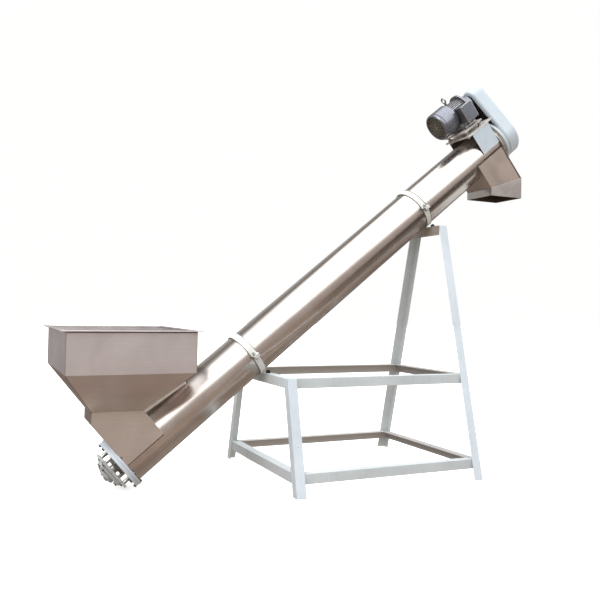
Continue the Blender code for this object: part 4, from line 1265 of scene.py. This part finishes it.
@dataclass
class Stand:
    """Splayed angle-iron stand."""

    left: float = -0.2824
    right: float = 0.6806
    foot_half_width: float = 0.4856
    splay: float = 0.2748
    ring_tops: tuple[float, float] = (0.098, 0.4965)
    angle_leg: float = 0.045
    angle_thickness: float = 0.004
    # Depth from a beam's outer face that keeps the plain coat; beyond it lies painted shade.
    unshaded_depth: float = 0.0025
    wall_slant: float = 1.04
    weld_radius: float = 0.0018

    def dress(self) -> None:
        """Put paint on legs, rings and crossbar."""
        for level in ("lower", "mid"):
            dress(WHITE_COAT, f"{level}_ring_front_beam", f"{level}_ring_left_beam", edge=BAR_EDGE)
            # The back and right beams get painted shade on their inner faces.
            for axis, (side, shade_colour) in enumerate(BEAM_PAINTED_SHADE.items()):
                beam = f"{level}_ring_{side}_beam"
                across = (1.0, 0.0, 0.0) if axis == 0 else (0.0, 1.0, 0.0)
                shade_band = PaintedShadeBand(across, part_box(beam)[1][axis], self.unshaded_depth, shade_colour)
                dress(replace(WHITE_COAT, name=f"{level}_{side}_beam_coat", shade_band=shade_band), beam, edge=BAR_EDGE)
        dress(FRONT_LEG_PAINTED_LIGHT_COAT, "leg_front_left", "leg_front_right", edge=BAR_EDGE)
        dress(BACK_LEG_PAINTED_LIGHT_COAT, "leg_back_left", "leg_back_right", edge=BAR_EDGE)
        dress(BROWN_CROSSBAR_COAT, "top_crossbar", edge=BAR_EDGE)

    def build(self) -> None:
        """Weld each ring at its mitres."""
        work = Workpiece("stand_corner_welds")
        wall = self.angle_thickness
        for top in self.ring_tops:
            half = self.foot_half_width - self.splay * top - wall * self.wall_slant
            for x, inward in ((self.left + wall, 1), (self.right - wall, -1)):
                for side in (-1, 1):
                    outer = Vector((x, side * half, top))
                    inner = outer + Vector((inward, -side, 0.0)) * self.angle_leg
                    work.add(bead(outer, inner, self.weld_radius))
        work.done(WHITE_COAT)


@dataclass
class Chute:
    """Discharge chute under the tube's upper end."""

    start: float = 2.525
    seam: float = -0.020
    half: float = 0.1118
    rear: float = 0.9913
    front: float = 1.1951
    rear_bend: float = 1.4845
    front_bend: float = 1.5599
    outlet: float = 1.4450
    collar: float = 0.0015
    collar_edge: float = 0.0004
    seam_radius: float = 0.0042
    seam_end: float = 0.002
    corner_inset: float = 0.004
    corner_drop: float = 0.006

    def dress(self) -> None:
        """Put the rolled finish on the chute."""
        dress(ROLLED_SHEET, "discharge_chute", edge=SHEET_EDGE)

    def build(self) -> None:
        """Weld the chute to the tube and fit the brushed collar round its outlet."""
        # The dark beads along the chute's top and front edges are painted shadow of their gaps.
        seam = Workpiece("chute_seam_painted_shadow")
        for wall in (-self.half, self.half):
            seam.add(bead(TUBE.point(self.start, self.seam, wall),
                          TUBE.point(TUBE.end - self.seam_end, self.seam, wall), self.seam_radius))
            seam.add(bead(TUBE.point(TUBE.end - self.corner_inset, self.seam - self.corner_drop, wall),
                          Vector((self.front - self.corner_inset, wall, self.front_bend)), self.seam_radius))
        seam.done(DARK_SEAM_AND_SHADOW)

        collar = Workpiece("chute_outlet_collar")
        for side in (-1, 1):
            place = side * (self.half + self.collar / 2)
            collar.add(self.side_sheet(), Matrix.Translation((0.0, place, 0.0)))
        for place, bend in ((self.rear - self.collar / 2, self.rear_bend),
                            (self.front + self.collar / 2, self.front_bend)):
            rise = bend - self.outlet
            collar.add(block((self.collar, 2 * self.half, rise), self.collar_edge),
                       Matrix.Translation((place, 0.0, self.outlet + rise / 2)))
        collar.done(COLLAR_SHEET)

    def side_sheet(self) -> bmesh.types.BMesh:
        """Cut the collar's side sheet, whose upper edge slopes from one bend to the other.

        Returns:
            The sheet, at its place along the chute.
        """
        shape = block((self.front - self.rear + 2 * self.collar, self.collar, self.front_bend - self.outlet))
        middle = ((self.front + self.rear) / 2, 0.0, (self.front_bend + self.outlet) / 2)
        bmesh.ops.translate(shape, vec=middle, verts=shape.verts[:])
        for vert in shape.verts:
            if vert.co.z > self.front_bend - SAME_LEVEL and vert.co.x < self.rear + SAME_LEVEL:
                vert.co.z = self.rear_bend
        return ease_edges(shape, self.collar_edge)


@dataclass
class UpperEnd:
    """Drive end of the tube: flange, cover and bearing housing."""

    flange_back: float = 2.7303
    cover_face: float = 2.7706
    bolt_circle: float = 0.1155
    bolts: int = 8
    first_bolt: float = 22.5
    shank: float = 0.003

    def dress(self) -> None:
        """Put finishes on flange, cover and housing."""
        dress(TURNED_FLANGE, "upper_tube_flange")
        dress(WHITE_COAT, "upper_end_cover")
        dress(CASTING, "upper_bearing_housing")

    def build(self) -> None:
        """Bolt the cover to the flange."""
        work = Workpiece("upper_flange_bolts")
        circle = (self.bolt_circle, self.bolts, self.first_bolt)
        M6_SCREW.fit(work, round_seats(Facing.UPHILL, self.cover_face, *circle))
        M6_NUT.fit(work, round_seats(Facing.DOWNHILL, self.flange_back, *circle))
        work.add(rod(self.shank, self.cover_face - self.flange_back, 12),
                 *round_seats(Facing.UPHILL, self.flange_back, *circle))
        work.done(ZINC)


@dataclass
class BeltGuard:
    """Tapered sheet guard over the belt; its back towards the motor is a shallow recess whose black floor is
    painted shade.
    """

    start: float = 2.784
    depth: float = 0.081
    low_radius: float = 0.118
    high_radius: float = 0.055
    offset: float = 0.264
    lip: float = 0.009
    recess: float = 0.030
    rounding: float = 0.007
    back_rounding: float = 0.014
    flat_turn: float = math.radians(0.5)
    screw_shares: tuple[float, ...] = (-0.28, 0.2, 0.6, 1.1)
    screw_margin: float = 0.014
    screw_sink: float = 0.0005
    straight_spread: float = 0.97
    round_spread: float = 0.72

    def hull(self) -> bmesh.types.BMesh:
        """Wrap the two unlike round ends.

        Returns:
            The closed hull, from the seat up local Z.
        """
        shape = bmesh.new()
        for radius, height in ((self.low_radius, 0.0), (self.high_radius, self.offset)):
            bmesh.ops.create_cone(shape, cap_ends=False, segments=72, radius1=radius, radius2=radius,
                                  depth=self.depth, matrix=Matrix.Translation((height, 0.0, self.depth / 2)))
        bmesh.ops.delete(shape, geom=shape.faces[:], context="FACES_ONLY")
        made = bmesh.ops.convex_hull(shape, input=shape.verts[:], use_existing_faces=False)
        spare = [item for item in made["geom_interior"] if isinstance(item, bmesh.types.BMVert)]
        bmesh.ops.delete(shape, geom=spare, context="VERTS")
        loose = [edge for edge in shape.edges if not edge.link_faces]
        bmesh.ops.delete(shape, geom=loose, context="EDGES")
        bmesh.ops.dissolve_limit(shape, angle_limit=self.flat_turn, verts=shape.verts[:],
                                 edges=shape.edges[:])
        return shape

    def build(self) -> None:
        """Press the shell, sink its back into a recess with a floor of painted shade, and screw it on."""
        shape = self.hull()
        for level, rounding in ((self.depth, self.rounding), (0.0, self.back_rounding)):
            rim = [edge for edge in shape.edges
                   if all(abs(vert.co.z - level) < SAME_LEVEL for vert in edge.verts)]
            bmesh.ops.bevel(shape, geom=rim, offset=rounding, offset_type="OFFSET", affect="EDGES",
                            segments=4, profile=0.5, material=-1)
        back = [face for face in shape.faces if max(vert.co.z for vert in face.verts) < SAME_LEVEL]
        bmesh.ops.inset_region(shape, faces=back, thickness=self.lip, use_even_offset=True)
        sunk = bmesh.ops.extrude_face_region(shape, geom=back)["geom"]
        bmesh.ops.delete(shape, geom=back, context="FACES_ONLY")
        floor = [item for item in sunk if isinstance(item, bmesh.types.BMVert)]
        bmesh.ops.translate(shape, vec=(0.0, 0.0, self.recess), verts=floor)
        # The recess's floor is painted shade.
        for face in shape.faces:
            if any(vert in floor for vert in face.verts):
                face.material_index = 1
        work = Workpiece("belt_guard_shell")
        work.add(shape, TUBE.seat(Facing.UPHILL, self.start))
        work.done(GUARD_COAT, GUARD_RECESS_PAINTED_SHADE, stands_for=("belt_guard",))

        screws = Workpiece("belt_guard_screws")
        face = TUBE.seat(Facing.UPHILL, self.start + self.depth - self.screw_sink)
        seats = []
        for share in self.screw_shares:
            on_straight = 0.0 <= share <= 1.0
            span = self.low_radius + (self.high_radius - self.low_radius) * min(1.0, max(0.0, share))
            aside = (span - self.screw_margin) * (self.straight_spread if on_straight else self.round_spread)
            for sign in (-1, 1):
                seats.append(face @ Matrix.Translation((self.offset * share, sign * aside, 0.0)))
        screws.add(turned([(0.0, -0.001), (0.0058, -0.001), (0.0058, 0.0006), (0.0046, 0.0022),
                           (0.0022, 0.0030), (0.0, 0.0031)], 20), *seats)
        screws.done(GUARD_COAT)


@dataclass
class MotorMount:
    """Bracket sides on the tube and the two plates that the motor is adjusted on."""

    bracket_start: float = 2.598
    bracket_end: float = 2.729
    bracket_bottom: float = 0.010
    bracket_side: float = 0.1138
    lower_under: float = 0.132
    lower_top: float = 0.140
    upper_under: float = 0.1617
    stud_stations: tuple[float, float] = (2.593, 2.697)
    stud_side: float = 0.082
    # Depth from a bracket side's outer face that keeps the plain coat; beyond it lies painted shade.
    unshaded_depth: float = 1.2 * MILLIMETRE
    weld_radius: float = 0.002
    weld_inset: float = 0.0005

    def dress(self) -> None:
        """Put finishes on plates, bracket sides and studs."""
        # The bracket sides get painted shade on their inner faces.
        for side, outer in (("front", -self.bracket_side), ("back", self.bracket_side)):
            shade_band = PaintedShadeBand((0.0, 1.0, 0.0), outer, self.unshaded_depth, BRACKET_PAINTED_SHADE)
            dress(replace(BRACKET_COAT, name=f"pale_blue_{side}_bracket", shade_band=shade_band),
                  f"motor_bracket_{side}", edge=FOLD_EDGE)
        dress(MOUNT_COAT, "motor_mount_lower_plate", "motor_mount_upper_plate", edge=FOLD_EDGE)
        dress(ZINC, "mount_stud_1", "mount_stud_2", "mount_stud_3", "mount_stud_4", edge=0.0)

    def build(self) -> None:
        """Put nuts on the studs and weld the bracket sides."""
        work = Workpiece("mount_stud_nuts")
        sides = (-self.stud_side, self.stud_side)
        for nut, facing, height in ((M12_NUT, Facing.LIFT, self.lower_top),
                                    (M12_NUT, Facing.DROP, self.upper_under),
                                    (M12_END_NUT, Facing.DROP, self.lower_under)):
            nut.fit(work, grid_seats(facing, self.stud_stations, (height,), sides))
        work.done(ZINC)

        welds = Workpiece("mount_welds")
        for outer in (-self.bracket_side, self.bracket_side):
            for across in (self.bracket_bottom, self.lower_under - self.weld_inset):
                welds.add(bead(TUBE.point(self.bracket_start, across, outer),
                               TUBE.point(self.bracket_end, across, outer), self.weld_radius))
        welds.done(WHITE_COAT)


@dataclass
class Motor:
    """Foot-mounted motor with fan cowl, finned body, end shield, terminal box and lifting eye."""

    axis: float = 0.264
    cowl_start: float = 2.4985
    cowl_radius: float = 0.0775
    cowl_length: float = 0.1065
    cowl_wall: float = 0.002
    grille_radius: float = 0.0655
    grille_inset: float = 0.0035
    grille_rings: tuple[float, ...] = (0.016, 0.026, 0.036, 0.046, 0.056)
    grille_wire: float = 0.0016
    hub_radius: float = 0.010
    spoke_count: int = 12
    spoke_start: float = 0.0082
    spoke_end: float = 0.0010
    shade_disc_lap: float = 0.005
    body_start: float = 2.6053
    body_end: float = 2.7000
    core_radius: float = 0.0585
    fin_radius: float = 0.0645
    fin_count: int = 36
    fin_thickness: float = 0.0042
    fin_root: float = 0.002
    foot_arc: tuple[float, float] = (140.0, 220.0)
    box_arc: tuple[float, float] = (66.0, 132.0)
    collar_start: float = 0.0045
    collar_length: float = 0.004
    foot_start: float = 2.610
    foot_end: float = 2.696
    foot_base: float = 0.170
    foot_width: float = 0.160
    foot_thickness: float = 0.012
    foot_edge: float = 0.003
    foot_bolt_inset: float = 0.014
    foot_bolt_side: float = 0.066
    pedestal_width: float = 0.090
    pedestal_top: float = 0.216
    boss_station: float = 2.634
    boss_radius: float = 0.013
    boss_height: float = 0.008
    shield_rim_top: float = 2.7133
    shield_bolt_circle: float = 0.0705
    box_start: float = 2.616
    box_end: float = 2.697
    box_low: float = 0.200
    box_high: float = 0.294
    box_face: float = 0.126
    box_root: float = 0.050
    case_inset: float = 0.004
    lid: float = 0.010
    lid_face: float = 0.0016
    lid_inset: float = 0.005
    lid_screw_inset: float = 0.009
    gland_insets: tuple[float, float] = (0.020, 0.022)
    gland_sink: float = 0.003
    gland_side: float = 0.090

    def dress(self) -> None:
        """Put finishes on the motor's plain castings."""
        dress(MOTOR_COAT, "motor_end_shield", edge=0.0015)
        dress(ZINC, "motor_shaft_end", "motor_lifting_eye", edge=0.0)

    def build_cowl(self) -> None:
        """Spin the cowl and set its grille in the rolled rim, with a dark disc of painted shade behind it."""
        outer, inner, rim = self.cowl_radius, self.cowl_radius - self.cowl_wall, self.grille_radius
        end = self.cowl_length
        profile = [(rim - 0.0015, 0.0055), (rim - 0.0015, 0.0012), (rim + 0.0005, 0.0),
                   (rim + 0.0045, 0.0004), (rim + 0.0085, 0.0028), (outer - 0.0012, 0.0066), (outer, 0.0105),
                   (outer, 0.0150), (outer - 0.0030, 0.0165), (outer - 0.0030, 0.0215), (outer, 0.0240),
                   (outer, end), (inner, end), (inner, 0.0265), (outer - 0.0052, 0.0235),
                   (outer - 0.0052, 0.0115), (rim + 0.0065, 0.0055), (rim - 0.0015, 0.0055)]
        work = Workpiece("motor_fan_cowl_shell")
        work.add(turned(profile, 72), TUBE.seat(Facing.UPHILL, self.cowl_start, self.axis))
        work.done(MOTOR_COAT, stands_for=("motor_fan_cowl",))

        grille = Workpiece("motor_cowl_grille")
        seat = TUBE.seat(Facing.UPHILL, self.cowl_start + self.grille_inset, self.axis)
        wire, hub = self.grille_wire, self.hub_radius
        for radius in self.grille_rings:
            grille.add(ring(radius, wire, 48, 6), seat)
        grille.add(turned([(0.0, -wire), (hub, -wire), (hub, wire), (0.0, wire)], 32, 0.0005), seat)
        spoke = rod(wire, rim - self.spoke_start - self.spoke_end, 6)
        lay = Matrix.Rotation(math.pi / 2, 4, "Y") @ Matrix.Translation((0.0, 0.0, self.spoke_start))
        turns = [math.tau * index / self.spoke_count for index in range(self.spoke_count)]
        grille.add(spoke, *[seat @ Matrix.Rotation(turn, 4, "Z") @ lay for turn in turns])
        # A dark disc behind the grille is painted shade inside the cowl.
        wall = rim + self.shade_disc_lap
        grille.add(turned([(0.0, 0.009), (wall, 0.009), (wall, 0.011), (0.0, 0.011)], 48), seat, material=1)
        grille.done(GRILLE_COAT, FAN_PAINTED_SHADE)

    def build_body(self) -> None:
        """Cast the finned body with its feet, and bolt it down."""
        length = self.body_end - self.body_start
        seat = TUBE.seat(Facing.UPHILL, self.body_start, self.axis)
        work = Workpiece("motor_finned_body")
        work.add(rod(self.core_radius, length, 64), seat)
        depth = self.fin_radius - self.core_radius + self.fin_root
        turns = [math.tau * index / self.fin_count for index in range(self.fin_count)]
        covered = [(math.radians(low), math.radians(high)) for low, high in (self.foot_arc, self.box_arc)]
        finned = [turn for turn in turns if not any(low < turn < high for low, high in covered)]
        lift = Matrix.Translation((self.fin_radius - depth / 2, 0.0, length / 2))
        fin = block((depth, self.fin_thickness, length - 0.001), 0.0007)
        work.add(fin, *[seat @ Matrix.Rotation(turn, 4, "Z") @ lift for turn in finned])
        edge, deep = self.fin_radius, self.collar_length
        work.add(turned([(0.0, 0.0), (edge, 0.0), (edge, deep), (0.0, deep)], 64, 0.001),
                 TUBE.seat(Facing.UPHILL, self.body_end - self.collar_start, self.axis))
        foot_length = self.foot_end - self.foot_start
        middle = (self.foot_start + self.foot_end) / 2
        for rise, width in ((self.pedestal_top - self.foot_base, self.pedestal_width),
                            (self.foot_thickness, self.foot_width)):
            work.add(block((rise, width, foot_length), self.foot_edge),
                     TUBE.seat(Facing.UPHILL, middle, self.foot_base + rise / 2))
        work.add(rod(self.boss_radius, self.boss_height, 24, 0.001),
                 TUBE.seat(Facing.LIFT, self.boss_station, self.axis + self.core_radius))
        work.done(BODY_PAINTED_LIGHT_COAT, stands_for=("motor_body",))

        bolts = Workpiece("motor_bolts")
        M8_BOLT.fit(bolts, grid_seats(
            Facing.LIFT, (self.foot_start + self.foot_bolt_inset, self.foot_end - self.foot_bolt_inset),
            (self.foot_base + self.foot_thickness,), (-self.foot_bolt_side, self.foot_bolt_side)))
        M5_SCREW.fit(bolts, round_seats(
            Facing.UPHILL, self.shield_rim_top, self.shield_bolt_circle, 4, 45.0, self.axis))
        bolts.done(ZINC)

    def build_terminal_box(self) -> None:
        """Mould the terminal box with its screwed lid and two glands."""
        tall = self.box_high - self.box_low
        wide = self.box_end - self.box_start
        along = (self.box_start + self.box_end) / 2
        across = (self.box_low + self.box_high) / 2
        case_depth = self.box_face - self.lid - self.box_root
        work = Workpiece("motor_terminal_box")
        for inset, depth, place, edge, material in (
                (self.case_inset, case_depth, self.box_root + case_depth / 2, 0.004, 0),
                (0.0, self.lid - self.lid_face, self.box_face - (self.lid + self.lid_face) / 2, 0.0020, 1),
                (self.lid_inset, 2 * self.lid_face, self.box_face - self.lid_face, 0.0012, 0)):
            work.add(block((wide - inset, tall - inset, depth), edge),
                     TUBE.seat(Facing.FRONT, along, across, -place), material=material)
        work.done(BOX_PAINTED_SHADE_COAT, LID_RIM_PAINTED_HIGHLIGHT, stands_for=("terminal_box",))

        screws = Workpiece("terminal_box_screws")
        reach, rise = wide / 2 - self.lid_screw_inset, tall / 2 - self.lid_screw_inset
        screws.add(turned([(0.0, -0.001), (0.0040, -0.001), (0.0040, 0.0005), (0.0030, 0.0016),
                           (0.0, 0.0021)], 16),
                   *grid_seats(Facing.FRONT, (along - reach, along + reach), (across - rise, across + rise),
                               (-self.box_face,)))
        screws.done(BOX_PAINTED_SHADE_COAT)

        glands = Workpiece("terminal_box_glands")
        low_inset, high_inset = self.gland_insets
        glands.add(turned([(0.0, 0.0), (0.0075, 0.0), (0.0075, 0.003), (0.0098, 0.003), (0.0098, 0.010),
                           (0.0080, 0.014), (0.0052, 0.017), (0.0, 0.017)], 20, 0.0006),
                   *grid_seats(Facing.DROP, (self.box_start + low_inset, self.box_end - high_inset),
                               (self.box_low + self.gland_sink,), (-self.gland_side,)))
        glands.done(GLAND_PLASTIC)

    def build(self) -> None:
        """Build all of the motor's own pieces."""
        self.build_cowl()
        self.build_body()
        self.build_terminal_box()


class Ray(Enum):
    """A kind of light ray that a studio prop may be hidden from."""

    CAMERA = "visible_camera"
    DIFFUSE = "visible_diffuse"
    GLOSSY = "visible_glossy"
    SHADOW = "visible_shadow"


def hide_from(prop: bpy.types.Object, *rays: Ray) -> None:
    """Keep a studio prop from meeting some kinds of ray."""
    for ray in rays:
        setattr(prop, ray.value, False)


@dataclass
class Studio:
    """Pale floor, soft light, reflection cards and the camera of the photograph."""

    eye: Vector = Vector((-1.5353, -3.442, 0.8118))
    yaw: float = math.radians(27.16)
    pitch: float = math.radians(1.57)
    roll: float = math.radians(1.08)
    lens: float = 45.27
    shift: tuple[float, float] = (-0.0947, -0.0204)
    far_end: float = 200.0
    floor_size: float = 60.0
    backdrop_radius: float = 45.0
    mirrored_radius: float = 40.0
    glow: float = 2.0
    front_light: Stops = ((-1.0, "B2A69B", 1.0), (-0.2, "B2A69B", 1.0), (0.1, "BEBAB6", 1.0),
                          (0.4, "E0E2E4", 1.0), (0.75, "FFFFFF", 2.0), (1.0, "FFFFFF", 2.0))
    back_light: Stops = ((-1.0, "A89C91", 1.0), (-0.2, "A89C91", 1.0), (0.1, "B4B0AC", 1.0),
                         (0.4, "D8DADC", 1.0), (0.75, "FFFFFF", 2.0), (1.0, "FFFFFF", 2.0))
    dark_card_station: float = 3.6
    dark_card_reach: float = 3.0
    dark_card_turn: float = math.radians(-131.0)
    dark_card_size: tuple[float, float] = (2.6, 1.9)
    white_card_place: Vector = Vector((7.0, -0.6, 2.0))
    white_card_size: tuple[float, float] = (6.2, 7.2)
    lamp_size: tuple[float, float] = (3.0, 2.0)
    lamp_power: float = 100.0
    lamp_place: Vector = Vector((-3.4, -2.4, 4.2))
    lamp_aim: Vector = Vector((0.0, 0.0, 0.9))

    def build_camera(self) -> None:
        """Set the camera where the photograph was taken from."""
        data = bpy.data.cameras.new("studio_camera")
        camera = bpy.data.objects.new("studio_camera", data)
        bpy.context.scene.collection.objects.link(camera)
        level = Vector((math.cos(self.yaw), -math.sin(self.yaw), 0.0))
        ahead = Vector((math.sin(self.yaw) * math.cos(self.pitch), math.cos(self.yaw) * math.cos(self.pitch),
                        math.sin(self.pitch)))
        upright = level.cross(ahead)
        right = level * math.cos(self.roll) + upright * math.sin(self.roll)
        above = upright * math.cos(self.roll) - level * math.sin(self.roll)
        basis = Matrix((right, above, -ahead)).transposed().to_4x4()
        camera.matrix_world = Matrix.Translation(self.eye) @ basis
        data.lens = self.lens
        data.shift_x, data.shift_y = self.shift
        data.clip_end = self.far_end
        bpy.context.scene.camera = camera

    def add_sheet(self, name: str, size: tuple[float, float], place: Matrix,
                  finish: Finish) -> bpy.types.Object:
        """Lay a flat sheet that belongs to the studio.

        Args:
            name: the sheet's name.
            size: its width and height.
            place: where it lies, facing local Z.
            finish: its finish.

        Returns:
            The sheet's object.
        """
        shape = bmesh.new()
        bmesh.ops.create_grid(shape, x_segments=1, y_segments=1, size=0.5)
        bmesh.ops.transform(shape, matrix=place @ Matrix.Diagonal((*size, 1.0, 1.0)), verts=shape.verts[:])
        sheet = make_object(name, shape, finish)
        return sheet

    def hang_cloth(self, name: str, radius: float, finish: Finish) -> bpy.types.Object:
        """Hang a round cloth about the studio.

        Args:
            name: the cloth's name.
            radius: its distance from the middle.
            finish: its finish.

        Returns:
            The cloth's object.
        """
        shape = bmesh.new()
        bmesh.ops.create_icosphere(shape, subdivisions=4, radius=radius)
        bmesh.ops.reverse_faces(shape, faces=shape.faces[:])
        hung = make_object(name, shape, finish)
        hung.data.materials[0].cycles.emission_sampling = "NONE"
        hide_from(hung, Ray.SHADOW, Ray.DIFFUSE)
        return hung

    def hang_cards(self) -> None:
        """Hang the two cards that the tube mirrors: a dark one below it and a white one to the right."""
        down = Matrix.Rotation(self.dark_card_turn, 4, TUBE.along)
        outward = down @ Vector((0.0, 1.0, 0.0))
        basis = Matrix((TUBE.along, -outward.cross(TUBE.along), -outward)).transposed().to_4x4()
        middle = TUBE.point(self.dark_card_station) + outward * self.dark_card_reach
        sheets = [
            self.add_sheet("dark_card", self.dark_card_size, Matrix.Translation(middle) @ basis, DARK_CARD),
            self.add_sheet("white_card", self.white_card_size,
                           Matrix.Translation(self.white_card_place) @ Matrix.Rotation(-math.pi / 2, 4, "Y"),
                           WHITE_CARD),
        ]
        for sheet in sheets:
            hide_from(sheet, Ray.CAMERA, Ray.DIFFUSE, Ray.SHADOW)

    def build_light(self) -> None:
        """Light the studio with one soft lamp and a dome, dim below and bright overhead."""
        world = bpy.data.worlds.new("studio_dome")
        bpy.context.scene.world = world
        world.use_nodes = True
        world.cycles_visibility.glossy = False
        tree = world.node_tree
        sky = tree.nodes["Background"]
        place = add_node(tree, "ShaderNodeTexCoord").outputs["Generated"]
        tone = light_dome(tree, place, self.front_light, self.back_light, self.glow)
        sky.inputs["Strength"].default_value = self.glow
        tree.links.new(tone, sky.inputs["Color"])

        data = bpy.data.lights.new("soft_lamp", "AREA")
        data.shape = "RECTANGLE"
        data.size, data.size_y = self.lamp_size
        data.energy = self.lamp_power
        lamp = bpy.data.objects.new("soft_lamp", data)
        lamp.location = self.lamp_place
        aim = self.lamp_aim - lamp.location
        lamp.rotation_euler = aim.to_track_quat("-Z", "Y").to_euler()
        bpy.context.scene.collection.objects.link(lamp)

    def build(self) -> None:
        """Set up the whole studio."""
        bpy.context.scene.view_settings.view_transform = "Standard"
        floor = self.add_sheet("studio_floor", (self.floor_size, self.floor_size), Matrix.Identity(4),
                               FLOOR_COAT)
        hide_from(floor, Ray.DIFFUSE, Ray.GLOSSY, Ray.SHADOW)
        self.hang_cards()
        hide_from(self.hang_cloth("studio_backdrop", self.backdrop_radius, BACKDROP), Ray.GLOSSY)
        hide_from(self.hang_cloth("reflected_studio", self.mirrored_radius, REFLECTED_STUDIO), Ray.CAMERA)
        self.build_light()
        self.build_camera()


def main() -> None:
    """Build and dress the sub-assemblies in order, then the studio."""
    logging.basicConfig(level=logging.INFO, format="%(name)s: %(message)s")
    for part in (Conveyor(), LowerEnd(), Hopper(), Clamps(), Stand(), Chute(), UpperEnd(), MotorMount(),
                 Motor()):
        part.dress()
        part.build()
        LOG.info("%s ready", type(part).__name__)
    BeltGuard().build()
    Studio().build()


if __name__ == "__main__":
    main()
